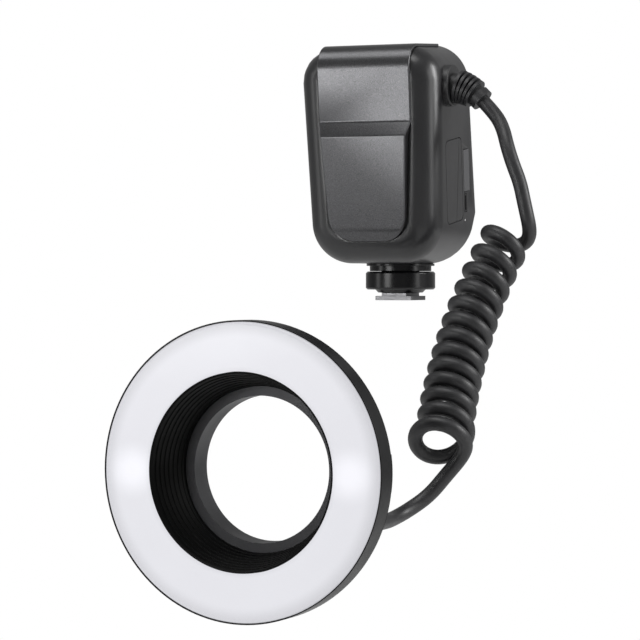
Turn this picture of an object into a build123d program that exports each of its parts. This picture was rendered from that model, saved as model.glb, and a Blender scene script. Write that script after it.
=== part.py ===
"""Macro ring flash: a controller on a shoe foot, a curly cord and a ring head round a lens.

Millimetres, +Z up. The origin is the centre of the underside of the shoe foot.
-Y points to the subject, and the ring head's axis runs along Y below the foot.
"""
import os
from math import cos, exp, pi, radians, sin, sqrt, tan

from build123d import *

os.makedirs("parts", exist_ok=True)

# Clearances and helpers
overrun = 4.0
seat_gap = 0.15
slide_gap = 0.3
hinge_gap = 0.06
wall = 2.2

# Shoe foot
foot_width = 18.6
foot_length = 18.0
foot_thickness = 2.0
foot_chamfer = 0.5
neck_width = 12.3
neck_height = 1.4
hub_radius = 9.0
lock_ring_radius = 16.35
lock_ring_height = 8.65
lock_cone_height = 1.6
lock_cone_low = 10.5
lock_cone_high = 11.85
lock_chamfer = 0.8
collar_radius = 14.5
collar_height = 2.45
flange_radius = 16.0
flange_height = 1.1
pin_radius = 1.0
pin_travel = 1.6
pin_head_radius = 1.7
pin_head_height = 1.2
pin_offset = 6.0
contact_radius = 1.0
contact_depth = 0.5
contact_offset = 3.4
foot_screw_radius = 1.1
foot_screw_head = 2.0
foot_screw_head_height = 1.2
foot_screw_circle = 10.8
foot_screw_turn = 45.0

# Controller body
body_height = 101.6
half_width_low = 31.6
half_width_high = 34.4
front_low = 37.9
front_lean = 5.7
rear_low = 24.3
rear_lean = 13.3
bottom_corner = 19.0
top_corner = 17.0
top_lean = 4.0
front_round = 12.0
rear_round = 5.0
rear_bevel_height = 23.8
rear_bevel_foot = 6.0
boss_radius = 15.4
boss_height = 20.0
seam_low = 5.0
seam_lean = 10.9
deep_overrun = 60.0

# Front strip
strip_half = 22.7
strip_half_step = 21.0
strip_half_low = 18.4
strip_bottom = 27.0
strip_corner = 12.0
strip_top_back = 9.0
strip_sink = 1.2
strip_proud = 0.5
strip_step_proud = 4.2
strip_chin_proud = 2.6
step_low = 75.0
step_high = 81.7
strip_top_round = 11.0
strip_chin = 5.0

# Rear panel
panel_height = 70.0
window_width = 54.0
window_height = 34.0
window_centre = 22.5
window_corner = 3.0
window_thickness = 1.2
bezel = 2.0
module_thickness = 3.1
key_row = 0.2
key_count = 4
key_spacing = 13.0
key_width = 10.0
key_height = 4.2
key_corner = 1.2
key_proud = 0.7
key_flange = 1.0
key_flange_thickness = 0.8
dial_row = 16.6
dial_radius = 10.5
dial_inner = 5.2
dial_height = 2.6
dial_sink = 1.4
dial_notches = 30
dial_notch_radius = 0.45
set_radius = 4.8
set_proud = 1.8
round_key_radius = 3.6
round_key_x = 19.5
upper_key_row = 10.4
lower_key_row = 21.6
switch_length = 9.0
switch_width = 3.6
switch_travel = 3.0
switch_proud = 1.3
switch_foot = 1.2
board_thickness = 1.6
board_depth = 4.6
board_half = 26.0
board_below = 26.0
board_above = 38.0

# Battery, latch and port door, all on the side that the cord leaves
battery_width = 20.3
battery_height = 38.2
battery_corner = 3.0
battery_y = -14.9
battery_z = 55.3
battery_lean = 8.6
battery_length = 58.0
tray_wall = 0.8
tray_floor = 1.6
contact_width = 3.0
contact_thickness = 0.8
contact_tail = 1.2
contact_spacing = 6.0
contact_count = 4
latch_width = 3.2
latch_height = 8.2
latch_y = 0.7
latch_z = 45.6
latch_lip = 0.8
door_width = 7.2
door_height = 19.4
door_y = 0.9
door_z = 60.8
door_thickness = 1.5
door_swing_gap = 0.45
door_knuckle = 0.7
port_width = 3.4
port_length = 9.2
port_depth = 7.0
port_wall = 0.5
port_tongue = 0.8

# Inside the controller
capacitor_radius = 10.5
capacitor_length = 44.0
capacitor_y = -25.5
capacitor_drop = 22.8
driver_thickness = 1.6
driver_half = 29.5
driver_corner = 6.0
driver_height = 30.0
driver_post_radius = 1.6
driver_post_x = 28.0
driver_post_below = 10.0
driver_post_above = 8.0

# Cord and its boots
cord_diameter = 6.5
boot_y = -25.0
boot_z = 98.6
boot_start_angle = 8.0
boot_end_angle = 45.0
boot_length = 17.0
boot_base_radius = 9.6
boot_base_thickness = 2.2
boot_rib_large = 8.4
boot_rib_small = 6.2
boot_core_large = 5.8
boot_core_small = 4.3
boot_rib_count = 5
boot_rib_thickness = 1.3
boot_root = 3.0
boot_base_edge = 0.5
boot_sections = 4
boot_cap_radius = 5.4
boot_cap_length = 3.4
curl_turns = 13
curl_part_turn_share = 0.3
curl_start_share = -0.11
curl_radius_top = 8.6
curl_radius_bottom = 9.7
curl_pitch_top = 11.24
curl_pitch_middle = 8.1
curl_pitch_bottom = 8.01
curl_lead = 5.5
curl_lead_share = 0.12
curl_lean = 34.4
curl_swing = -4.51
curl_bend = 24.57
curl_top = (68.07, -28.5, 37.29)
upper_route = [(61.2, -28.1, 77.7), (64.4, -32.2, 70.2), (67.7, -33.8, 61.8)]
tip_run_share = 1.39
drop_run_share = 1.3
first_drop_share = 1.79
gland_run_share = 2.12
corner_share = 0.45
lower_route = [(43.7, -101.8, -90.1), (40.6, -113.1, -93.2)]

# Ring head
head_axis = 69.85
head_front = 180.46
head_radius = 63.0
head_depth = 26.5
barrel_depth_share = 0.453
barrel_lip = 0.7
hole_share = 0.64762
hole_lip = 0.9
tube_narrowing = 5.8
tube_end = 5.1
tube_wall = 1.4
tube_taper = 5.6
tube_step_count = 8
diffuser_rim = 0.7
diffuser_thickness = 2.2
diffuser_round = 1.4
diffuser_skirt = 1.6
skirt_depth = 3.4
shell_wall = 1.8
cover_shoulder = 7.0
cover_back_round = 2.0
reflector_margin = 2.9
reflector_floor_share = 0.4
reflector_wall = 0.8
xenon_share = 0.669
xenon_radius_share = 0.1365
xenon_depth_share = 0.249
xenon_sweep = 150.0
end_cap_radius_share = 0.198
end_cap_length = 5.0
lamp_share = 0.3277
lamp_radius_share = 0.15
lamp_depth_share = 0.1736
lamp_base_share = 0.1775
lamp_base_thickness = 1.2
lamp_dome_share = 0.7
ring_board_margin = 4.7
ring_board_edge = 4.0
ring_board_gap = 2.3
button_width = 16.0
button_height = 7.0
button_from_back = 7.9
button_face_sink = 3.7
button_lip = 1.0
button_flange = 1.8
button_reach = 9.6
yoke_thickness = 1.2
yoke_width = 2.0
yoke_inner_left = 43.4
yoke_inner_right = 46.0
yoke_from_back_left = 9.1
yoke_from_back_right = 7.5
claw_width = 9.0
claw_thickness = 1.4
claw_bite = 0.8
claw_heel = 2.0
cover_screw_inset = 11.5
cover_screw_head = 1.9
cover_screw_sink = 1.3
cover_screw_shaft = 0.9
cover_screw_length = 6.0
cover_post_radius = 2.4
cover_post_web = 2.0
cover_screw_count = 4
cover_screw_turn = 45.0
gland_angle = 28.0
gland_inset = 14.0
gland_base_radius = 6.6
gland_tip_radius = 4.4
gland_length = 13.0
gland_rib_count = 3
gland_rib_thickness = 1.5
gland_rib_radius = 5.6
adapter_grip = 3.2
adapter_wall = 7.2
adapter_from_back = 4.9
adapter_disc = 5.6
adapter_grip_rim = 2.8
adapter_grip_thickness = 2.6
adapter_grip_notches = 48
adapter_notch_radius = 0.5
groove_depth = 1.2
groove_width = 2.2
groove_start = 0.8
groove_floor = 1.8
thread_wall = 2.5
thread_length = 4.0

# Worked out from the sizes above
body_low = foot_thickness + neck_height + lock_cone_height + lock_ring_height + collar_height + flange_height
body_high = body_low + body_height
ring_low = foot_thickness + neck_height
ring_high = ring_low + lock_cone_height + lock_ring_height
body_reach = 4 * half_width_high
capacitor_z = body_high - capacitor_drop
driver_post_rows = (capacitor_z - driver_post_below, capacitor_z + driver_post_above)
head_origin = (0, -head_front, -head_axis)
head_section = Plane(origin=head_origin, x_dir=(0, 1, 0), z_dir=(1, 0, 0))
head_line = Axis(head_origin, (0, 1, 0))
barrel_depth = barrel_depth_share * head_depth
hole_radius = hole_share * head_radius
hole_lip_radius = hole_radius + hole_lip
tube_rear_radius = hole_radius - tube_narrowing
tube_depth = head_depth - tube_end
diffuser_radius = head_radius - diffuser_rim
cover_flat_radius = head_radius - cover_shoulder
cover_screw_circle = head_radius - cover_screw_inset
adapter_radius = tube_rear_radius + adapter_grip
adapter_bore = adapter_radius - adapter_wall
adapter_front = head_depth - adapter_from_back
thread_radius = adapter_bore + thread_wall
button_depth = head_depth - button_from_back
reflector_inner = hole_lip_radius + reflector_margin
reflector_outer = head_radius - 2 * shell_wall - seat_gap
reflector_floor = reflector_floor_share * head_depth
trough_width = reflector_outer - reflector_inner
xenon_circle = reflector_inner + xenon_share * trough_width
xenon_radius = xenon_radius_share * trough_width
xenon_depth = xenon_depth_share * head_depth
end_cap_radius = end_cap_radius_share * trough_width
lamp_circle = reflector_inner + lamp_share * trough_width
lamp_radius = lamp_radius_share * trough_width
lamp_base = lamp_base_share * trough_width
lamp_depth = lamp_depth_share * head_depth
ring_board_inner = hole_radius + ring_board_margin
ring_board_outer = head_radius - ring_board_edge
ring_board_depth = reflector_floor + ring_board_gap


def front_y(z):
    """Front plane of the cheeks at a height."""
    return -front_low - (z - body_low) * tan(radians(front_lean))


def rear_y(z):
    """Rear panel plane at a height."""
    return rear_low - (z - body_low) * tan(radians(rear_lean))


def seam_y(z):
    """Joint of the two shells at a height."""
    return -seam_low - (z - body_low) * tan(radians(seam_lean))


def side_x(z):
    """Half width of the body at a height."""
    return half_width_low + (half_width_high - half_width_low) * (z - body_low) / body_height


def head_plane(depth):
    """Plane across the ring head, that many millimetres behind its front, facing back."""
    return Plane(origin=(0, depth - head_front, -head_axis), x_dir=(-1, 0, 0), z_dir=(0, 1, 0))


def panel_plane(depth):
    """Plane in the rear panel, that many millimetres under its surface, facing out."""
    lean = radians(rear_lean)
    out = (0, cos(lean), sin(lean))
    face = (0, rear_y(panel_height), panel_height)
    return Plane(origin=tuple(f - depth * o for f, o in zip(face, out)), x_dir=(-1, 0, 0), z_dir=out)


def side_plane(y, z, x):
    """Plane facing +X whose upright follows the lean of the battery."""
    lean = radians(battery_lean)
    return Plane(origin=(x, y, z), x_dir=(0, cos(lean), sin(lean)), z_dir=(1, 0, 0))


def save(piece, label):
    """Labels a finished piece and writes it."""
    piece.part.label = label
    export_step(piece.part, f"parts/{label}.step")


def upright_outline(low, high, inset):
    """Corners of the controller seen from the front, between two heights."""
    wide_low = side_x(low) - inset
    wide_high = side_x(high) - inset
    return [(-wide_low, low), (wide_low, low), (wide_high, high), (-wide_high, high)]


def body_block(inset):
    """The controller's solid form, every face drawn in by the inset. Its top leans down to the front."""
    low = body_low + inset
    high = body_high - inset
    bevel_top = body_low + rear_bevel_height
    lean = radians(top_lean)
    with BuildPart() as top_form:
        with BuildSketch(Plane.XZ.offset(strip_top_back)) as outline:
            with BuildLine():
                Polyline(*upright_outline(low - deep_overrun, high, inset), close=True)
            make_face()
            fillet(outline.vertices().group_by(Axis.Y)[-1], top_corner - inset)
        extrude(amount=body_reach, dir=(0, cos(lean), sin(lean)))
        extrude(outline.sketch, amount=body_reach, dir=(0, -cos(lean), -sin(lean)))
    with BuildPart() as block:
        with BuildSketch(Plane.XZ) as outline:
            with BuildLine():
                Polyline(*upright_outline(low, high + deep_overrun, inset), close=True)
            make_face()
            fillet(outline.vertices().group_by(Axis.Y)[0], bottom_corner - inset)
        extrude(amount=body_reach, both=True)
        add(top_form.part, mode=Mode.INTERSECT)
        with BuildSketch(Plane.YZ):
            with BuildLine():
                Polyline(
                    (front_y(low - overrun) + inset, low - overrun),
                    (front_y(high + overrun) + inset, high + overrun),
                    (rear_y(high + overrun) - inset, high + overrun),
                    (rear_y(bevel_top) - inset, bevel_top),
                    (rear_bevel_foot - inset, low),
                    (rear_bevel_foot - inset, low - overrun),
                    close=True,
                )
            make_face()
        extrude(amount=body_reach, both=True, mode=Mode.INTERSECT)
        fillet(block.faces().sort_by(Axis.Y)[0].edges(), front_round - inset)
        rear_faces = block.faces().filter_by(lambda face: face.normal_at().Y > 0.5)
        fillet(rear_faces.edges(), rear_round - inset)
        with BuildSketch(Plane.XY.offset(low)):
            Circle(boss_radius - inset)
        extrude(amount=boss_height)
    return block.part


def half_space(front):
    """Everything in front of the shells' joint, or behind it, as a block round the body."""
    low = body_low - overrun
    high = body_high + overrun
    reach = -body_reach if front else body_reach
    with BuildPart() as space:
        with BuildSketch(Plane.YZ):
            with BuildLine():
                Polyline(
                    (seam_y(low), low), (seam_y(high), high), (reach, high), (reach, low), close=True
                )
            make_face()
        extrude(amount=body_reach, both=True)
    return space.part


def top_z(y):
    """Height of the controller's top, which leans down to the front."""
    return body_high + (y + strip_top_back) * tan(radians(top_lean))


def strip_block(grow):
    """The front strip as a solid, grown by a gap: its side view cut to its front outline."""
    rise = strip_proud + grow
    sink = strip_sink + grow
    chin_height = strip_bottom + strip_chin
    corner_y = front_y(body_high) - rise
    corner_z = top_z(corner_y) + rise
    under_y = front_y(body_high) + sink
    under_z = top_z(under_y) - sink
    with BuildPart() as block:
        with BuildSketch(Plane.YZ) as view:
            with BuildLine():
                Polyline(
                    (front_y(strip_bottom) + sink, strip_bottom - grow),
                    (front_y(strip_bottom) - grow, strip_bottom - grow),
                    (front_y(chin_height) - strip_chin_proud - grow, chin_height),
                    (front_y(step_low) - strip_step_proud - grow, step_low),
                    (front_y(step_high) - rise, step_high),
                    (corner_y, corner_z),
                    (grow - strip_top_back, top_z(-strip_top_back) + rise),
                    (grow - strip_top_back, top_z(-strip_top_back) - sink),
                    (under_y, under_z),
                    close=True,
                )
            make_face()
            fillet(view.vertices().sort_by_distance((corner_y, corner_z))[0], strip_top_round)
            under_corner = view.vertices().sort_by_distance((under_y, under_z))[0]
            fillet(under_corner, strip_top_round - strip_proud - strip_sink)
            chin_corner = (front_y(chin_height) - strip_chin_proud - grow, chin_height)
            fillet(view.vertices().sort_by_distance(chin_corner)[0], strip_chin)
        extrude(amount=body_reach, both=True)
        with BuildSketch(Plane.XZ) as outline:
            with BuildLine():
                Polyline(
                    (-strip_half_low - grow, strip_bottom - grow),
                    (strip_half_low + grow, strip_bottom - grow),
                    (strip_half_step + grow, step_low),
                    (strip_half + grow, step_high),
                    (strip_half + grow, body_high + overrun),
                    (-strip_half - grow, body_high + overrun),
                    (-strip_half - grow, step_high),
                    (-strip_half_step - grow, step_low),
                    close=True,
                )
            make_face()
            fillet(outline.vertices().group_by(Axis.Y)[0], strip_corner)
        extrude(amount=body_reach, both=True, mode=Mode.INTERSECT)
    return block.part


# Bodies that several pieces are cut from
body_outer = body_block(0)
body_inner = body_block(wall)
strip_pocket = strip_block(seat_gap)

# Boxes and pockets in the shells' side, cut through both halves where they cross the joint
battery_depth_x = side_x(battery_z)
with BuildPart() as battery_pocket:
    with BuildSketch(side_plane(battery_y, battery_z, 0)):
        RectangleRounded(battery_width + 2 * slide_gap, battery_height + 2 * slide_gap, battery_corner)
    extrude(amount=body_reach)

with BuildPart() as latch_pocket:
    with BuildSketch(side_plane(latch_y, latch_z, side_x(latch_z) - wall - overrun)):
        RectangleRounded(latch_width + 2 * slide_gap, latch_height + 2 * slide_gap, latch_lip)
    extrude(amount=body_reach)

with BuildPart() as door_pocket:
    with BuildSketch(side_plane(door_y, door_z, side_x(door_z) - door_thickness - seat_gap)):
        Rectangle(door_width + 2 * door_swing_gap, door_height + 2 * door_swing_gap)
    extrude(amount=body_reach)

with BuildPart() as port_hole:
    with BuildSketch(side_plane(door_y, door_z, 0)):
        RectangleRounded(port_width + 2 * port_wall, port_length + 2 * port_wall, port_width / 2)
    extrude(amount=body_reach)

# Holes in the floor for the foot's screws
with BuildPart() as floor_holes:
    with BuildSketch(Plane.XY.offset(body_low - overrun)):
        with PolarLocations(foot_screw_circle, 4, start_angle=foot_screw_turn):
            Circle(foot_screw_radius + hinge_gap)
    extrude(amount=2 * overrun)

# Front shell
with BuildPart() as front_shell:
    add(body_outer)
    add(half_space(front=True), mode=Mode.INTERSECT)
    add(body_inner, mode=Mode.SUBTRACT)
    add(strip_pocket, mode=Mode.SUBTRACT)
    add(battery_pocket.part, mode=Mode.SUBTRACT)
    add(floor_holes.part, mode=Mode.SUBTRACT)
save(front_shell, "front_shell")

# Rear shell with its panel openings
key_places = [(key_spacing * (i - (key_count - 1) / 2), -key_row) for i in range(key_count)]
round_keys = {
    "mode_button": (round_key_x, -upper_key_row),
    "menu_button": (-round_key_x, -upper_key_row),
    "test_button": (-round_key_x, -lower_key_row),
}
switch_place = (round_key_x, -lower_key_row)
through = wall + overrun
driver_rear_y = capacitor_y + capacitor_radius + seat_gap + driver_thickness
with BuildPart() as driver_posts:
    with BuildSketch(Plane.XZ.offset(-driver_rear_y)):
        with Locations(*[(x, z) for x in (-driver_post_x, driver_post_x) for z in driver_post_rows]):
            Circle(driver_post_radius)
    extrude(amount=-body_reach)
    add(body_outer, mode=Mode.INTERSECT)

with BuildPart() as rear_shell:
    add(body_outer)
    add(half_space(front=False), mode=Mode.INTERSECT)
    add(body_inner, mode=Mode.SUBTRACT)
    add(driver_posts.part)
    add(battery_pocket.part, mode=Mode.SUBTRACT)
    add(latch_pocket.part, mode=Mode.SUBTRACT)
    add(door_pocket.part, mode=Mode.SUBTRACT)
    add(port_hole.part, mode=Mode.SUBTRACT)
    add(strip_pocket, mode=Mode.SUBTRACT)
    add(floor_holes.part, mode=Mode.SUBTRACT)
    with BuildSketch(panel_plane(window_thickness)):
        with Locations((0, window_centre)):
            RectangleRounded(window_width + 2 * seat_gap, window_height + 2 * seat_gap, window_corner)
    extrude(amount=overrun, mode=Mode.SUBTRACT)
    with BuildSketch(panel_plane(through)):
        with Locations((0, window_centre)):
            RectangleRounded(window_width - 2 * bezel, window_height - 2 * bezel, window_corner)
        with Locations(*key_places):
            RectangleRounded(key_width + 2 * slide_gap, key_height + 2 * slide_gap, key_corner)
        with Locations(*round_keys.values()):
            Circle(round_key_radius + slide_gap)
        with Locations((0, -dial_row)):
            Circle(set_radius + slide_gap)
        with Locations(switch_place):
            RectangleRounded(switch_width, switch_length, switch_width / 3)
    extrude(amount=through + overrun, mode=Mode.SUBTRACT)
    with BuildSketch(panel_plane(dial_sink)):
        with Locations((0, -dial_row)):
            Circle(dial_radius + slide_gap)
    extrude(amount=overrun, mode=Mode.SUBTRACT)
save(rear_shell, "rear_shell")

# Front strip, from the chin up over the step and back over the top
with BuildPart() as front_strip:
    add(strip_block(0))
save(front_strip, "front_strip")

# Display
with BuildPart() as display_window:
    with BuildSketch(panel_plane(window_thickness)):
        with Locations((0, window_centre)):
            RectangleRounded(window_width, window_height, window_corner)
    extrude(amount=window_thickness)
save(display_window, "display_window")

frame_width = 2 * bezel + 2 * seat_gap
with BuildPart() as display_module:
    with BuildSketch(panel_plane(board_depth)):
        with Locations((0, window_centre)):
            RectangleRounded(window_width - frame_width, window_height - frame_width, window_corner)
    extrude(amount=module_thickness)
save(display_module, "display_module")

# Key board under the panel
with BuildPart() as key_board:
    with BuildSketch(panel_plane(board_depth + board_thickness)):
        with BuildLine():
            Polyline(
                (-board_half, -board_below), (board_half, -board_below),
                (board_half, board_above), (-board_half, board_above), close=True,
            )
        make_face()
    extrude(amount=board_thickness)
save(key_board, "key_board")

# Soft keys, round keys, set button: caps with a flange that stays behind the panel
for number, (key_x, key_y) in enumerate(key_places, start=1):
    with BuildPart() as soft_key:
        with BuildSketch(panel_plane(wall + slide_gap)):
            with Locations((key_x, key_y)):
                RectangleRounded(key_width, key_height, key_corner)
        extrude(amount=wall + slide_gap + key_proud)
        fillet(soft_key.faces().sort_by(Axis.Y)[-1].edges(), key_proud / 2)
        with BuildSketch(panel_plane(wall + slide_gap + key_flange_thickness)):
            with Locations((key_x, key_y)):
                RectangleRounded(key_width + 2 * key_flange, key_height + 2 * key_flange, key_corner)
        extrude(amount=key_flange_thickness)
    save(soft_key, f"soft_key_{number}")

for label, (key_x, key_y) in round_keys.items():
    with BuildPart() as round_key:
        with BuildSketch(panel_plane(wall + slide_gap)):
            with Locations((key_x, key_y)):
                Circle(round_key_radius)
        extrude(amount=wall + slide_gap + key_proud)
        fillet(round_key.faces().sort_by(Axis.Y)[-1].edges(), key_proud / 2)
        with BuildSketch(panel_plane(wall + slide_gap + key_flange_thickness)):
            with Locations((key_x, key_y)):
                Circle(round_key_radius + key_flange)
        extrude(amount=key_flange_thickness)
    save(round_key, label)

with BuildPart() as set_button:
    with BuildSketch(panel_plane(wall + slide_gap)):
        with Locations((0, -dial_row)):
            Circle(set_radius)
    extrude(amount=wall + slide_gap + set_proud)
    fillet(set_button.faces().sort_by(Axis.Y)[-1].edges(), key_proud / 2)
    with BuildSketch(panel_plane(wall + slide_gap + key_flange_thickness)):
        with Locations((0, -dial_row)):
            Circle(set_radius + key_flange)
    extrude(amount=key_flange_thickness)
save(set_button, "set_button")

# Select dial: a notched ring round the set button
with BuildPart() as select_dial:
    with BuildSketch(panel_plane(dial_sink - hinge_gap)):
        with Locations((0, -dial_row)):
            Circle(dial_radius)
            Circle(dial_inner, mode=Mode.SUBTRACT)
            with PolarLocations(dial_radius, dial_notches):
                Circle(dial_notch_radius, mode=Mode.SUBTRACT)
    extrude(amount=dial_height)
save(select_dial, "select_dial")

# Power switch: a slider with a ridged top and a foot behind the panel
with BuildPart() as power_switch:
    switch_x, switch_y = switch_place
    slot_spare = (switch_length - switch_travel) / 2
    with BuildSketch(panel_plane(wall + slide_gap)):
        with Locations((switch_x, switch_y - switch_travel / 2)):
            RectangleRounded(switch_width - 2 * slide_gap, 2 * slot_spare - 2 * slide_gap, switch_width / 4)
    extrude(amount=wall + slide_gap + switch_proud)
    with BuildSketch(panel_plane(wall + slide_gap + key_flange_thickness)):
        with Locations((switch_x, switch_y - switch_travel / 2)):
            Rectangle(switch_width + 2 * key_flange, 2 * slot_spare + switch_foot)
    extrude(amount=key_flange_thickness)
save(power_switch, "power_switch")

# Battery with its end cap flush with the side, and the tray that holds it
battery_inner_x = battery_depth_x - battery_length
with BuildPart() as battery:
    with BuildSketch(side_plane(battery_y, battery_z, battery_inner_x)):
        RectangleRounded(battery_width, battery_height, battery_corner)
    extrude(amount=battery_length + overrun)
    add(body_outer, mode=Mode.INTERSECT)
save(battery, "battery")

tray_gap = 2 * slide_gap
tray_spread = tray_gap + 2 * tray_wall
contact_end_x = battery_inner_x - slide_gap - tray_floor - contact_tail
contact_reach = contact_tail + tray_floor + slide_gap / 2
with BuildPart() as battery_tray:
    with BuildSketch(side_plane(battery_y, battery_z, battery_inner_x - slide_gap - tray_floor)):
        RectangleRounded(battery_width + tray_spread, battery_height + tray_spread, battery_corner)
    extrude(amount=battery_length - wall)
    with BuildSketch(side_plane(battery_y, battery_z, battery_inner_x - slide_gap)):
        RectangleRounded(battery_width + tray_gap, battery_height + tray_gap, battery_corner)
    extrude(amount=battery_length, mode=Mode.SUBTRACT)
    with BuildSketch(side_plane(battery_y, battery_z, contact_end_x)):
        with GridLocations(0, contact_spacing, 1, contact_count):
            Rectangle(contact_width + seat_gap, contact_thickness + seat_gap)
    extrude(amount=contact_reach, mode=Mode.SUBTRACT)
save(battery_tray, "battery_tray")

# Contact blades through the tray's floor
with BuildPart() as battery_contacts:
    with BuildSketch(side_plane(battery_y, battery_z, contact_end_x)):
        with GridLocations(0, contact_spacing, 1, contact_count):
            Rectangle(contact_width, contact_thickness)
    extrude(amount=contact_reach)
save(battery_contacts, "battery_contacts")

# Battery latch: a push piece in its frame
latch_seat_x = side_x(latch_z - latch_height / 2 - 2 * latch_lip) - wall - slide_gap
with BuildPart() as battery_latch:
    with BuildSketch(side_plane(latch_y, latch_z, latch_seat_x - latch_lip)):
        RectangleRounded(latch_width, latch_height, latch_lip)
    extrude(amount=body_reach)
    add(body_outer, mode=Mode.INTERSECT)
    with BuildSketch(side_plane(latch_y, latch_z, latch_seat_x - latch_lip)):
        RectangleRounded(latch_width, latch_height + 4 * latch_lip, latch_lip)
    extrude(amount=latch_lip)
save(battery_latch, "battery_latch")

# Port door: a flap flush with the side that swings on its rear edge, and the socket behind it
with BuildPart() as port_door:
    with BuildSketch(side_plane(door_y, door_z, side_x(door_z) - door_thickness)):
        Rectangle(door_width, door_height)
    extrude(amount=overrun)
    add(body_outer, mode=Mode.INTERSECT)
    fillet(port_door.faces().sort_by(Axis.X)[0].edges().sort_by(Axis.Y)[-1], door_knuckle)
save(port_door, "port_door")

socket_x = side_x(door_z) - door_thickness - 2 * seat_gap
with BuildPart() as port_socket:
    with BuildSketch(side_plane(door_y, door_z, socket_x - port_depth)):
        RectangleRounded(
            port_width + 2 * port_wall - 2 * seat_gap, port_length + 2 * port_wall - 2 * seat_gap,
            port_width / 2,
        )
    extrude(amount=port_depth)
    with BuildSketch(side_plane(door_y, door_z, side_x(door_z) - door_thickness - port_depth + port_wall)):
        RectangleRounded(port_width - port_wall, port_length - port_wall, port_width / 3)
    extrude(amount=port_depth, mode=Mode.SUBTRACT)
    with BuildSketch(side_plane(door_y, door_z, side_x(door_z) - door_thickness - port_depth)):
        Rectangle(port_tongue, port_length - 4 * port_wall)
    extrude(amount=port_depth - port_wall)
save(port_socket, "port_socket")

# Capacitor and the driver board behind it
with BuildPart() as main_capacitor:
    with BuildSketch(Plane.YZ.offset(-capacitor_length / 2)):
        with Locations((capacitor_y, capacitor_z)):
            Circle(capacitor_radius)
    extrude(amount=capacitor_length)
save(main_capacitor, "main_capacitor")

with BuildPart() as driver_board:
    with BuildSketch(Plane.XZ.offset(-driver_rear_y)):
        with Locations((0, capacitor_z)):
            RectangleRounded(2 * driver_half, driver_height, driver_corner)
    extrude(amount=driver_thickness)
save(driver_board, "driver_board")

# Shoe foot: plate and neck, the contacts under it and the base with its hub
hub_low = foot_thickness + neck_height
collar_top = ring_high + collar_height
contact_sides = (-contact_offset, contact_offset)
contact_places = [(0, 0)] + [(x, y) for x in contact_sides for y in contact_sides]
with BuildPart() as foot_plate:
    with BuildSketch() as plate_outline:
        Rectangle(foot_width, foot_length)
        chamfer(plate_outline.vertices(), foot_chamfer)
        with Locations((0, pin_offset)):
            Circle(pin_radius + hinge_gap, mode=Mode.SUBTRACT)
    extrude(amount=foot_thickness)
    with BuildSketch(Plane.XY.offset(foot_thickness)):
        Rectangle(neck_width, foot_length - 2 * foot_chamfer)
        with Locations((0, pin_offset)):
            Circle(pin_radius + hinge_gap, mode=Mode.SUBTRACT)
    extrude(amount=neck_height)
    with BuildSketch():
        with Locations(*contact_places):
            Circle(contact_radius + seat_gap / 2)
    extrude(amount=contact_depth, mode=Mode.SUBTRACT)
save(foot_plate, "foot_plate")

with BuildPart() as foot_contacts:
    with BuildSketch():
        with Locations(*contact_places):
            Circle(contact_radius)
    extrude(amount=contact_depth)
save(foot_contacts, "foot_contacts")

with BuildPart() as foot_base:
    with BuildSketch(Plane.XY.offset(hub_low)):
        Circle(hub_radius)
    extrude(amount=ring_high - hub_low)
    with BuildSketch(Plane.XY.offset(ring_high)):
        Circle(collar_radius)
    extrude(amount=collar_height)
    with BuildSketch(Plane.XY.offset(collar_top)):
        Circle(flange_radius)
    extrude(amount=flange_height)
    with BuildSketch(Plane.XY.offset(hub_low)):
        with Locations((0, pin_offset)):
            Circle(pin_radius + hinge_gap)
    extrude(amount=ring_high - hub_low, mode=Mode.SUBTRACT)
    with BuildSketch(Plane.XY.offset(ring_high)):
        with Locations((0, pin_offset)):
            Circle(pin_head_radius + seat_gap)
    extrude(amount=collar_height + flange_height, mode=Mode.SUBTRACT)
    with BuildSketch(Plane.XY.offset(collar_top)):
        with PolarLocations(foot_screw_circle, 4, start_angle=foot_screw_turn):
            Circle(foot_screw_radius + hinge_gap)
    extrude(amount=flange_height, mode=Mode.SUBTRACT)
save(foot_base, "foot_base")

# Lock ring: turns on the hub, with a cone that bears on the shoe and a chamfered rim
with BuildPart() as lock_ring:
    with BuildSketch(Plane.YZ):
        with BuildLine():
            Polyline(
                (hub_radius + hinge_gap, ring_low + seat_gap),
                (lock_cone_low, ring_low + seat_gap),
                (lock_cone_high, ring_low + lock_cone_height),
                (lock_ring_radius - lock_chamfer, ring_low + lock_cone_height),
                (lock_ring_radius, ring_low + lock_cone_height + lock_chamfer),
                (lock_ring_radius, ring_high - lock_chamfer - seat_gap),
                (lock_ring_radius - lock_chamfer, ring_high - seat_gap),
                (hub_radius + hinge_gap, ring_high - seat_gap),
                close=True,
            )
        make_face()
    revolve(axis=Axis.Z)
save(lock_ring, "lock_ring")

with BuildPart() as lock_pin:
    with BuildSketch():
        with Locations((0, pin_offset)):
            Circle(pin_radius)
    extrude(amount=ring_high + pin_travel + seat_gap)
    with BuildSketch(Plane.XY.offset(ring_high + pin_travel + seat_gap)):
        with Locations((0, pin_offset)):
            Circle(pin_head_radius)
    extrude(amount=pin_head_height)
save(lock_pin, "lock_pin")

# Screws from inside the floor of the body into the flange
with BuildPart() as foot_screws:
    with BuildSketch(Plane.XY.offset(collar_top)):
        with PolarLocations(foot_screw_circle, 4, start_angle=foot_screw_turn):
            Circle(foot_screw_radius)
    extrude(amount=flange_height + wall)
    with BuildSketch(Plane.XY.offset(body_low + wall)):
        with PolarLocations(foot_screw_circle, 4, start_angle=foot_screw_turn):
            Circle(foot_screw_head)
    extrude(amount=foot_screw_head_height)
save(foot_screws, "foot_screws")


# Cord boots: rings along a bent axis, thinner towards the tip
boot_radius = boot_length / radians(boot_end_angle - boot_start_angle)
boot_base_x = side_x(boot_z + boot_base_radius)


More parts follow.
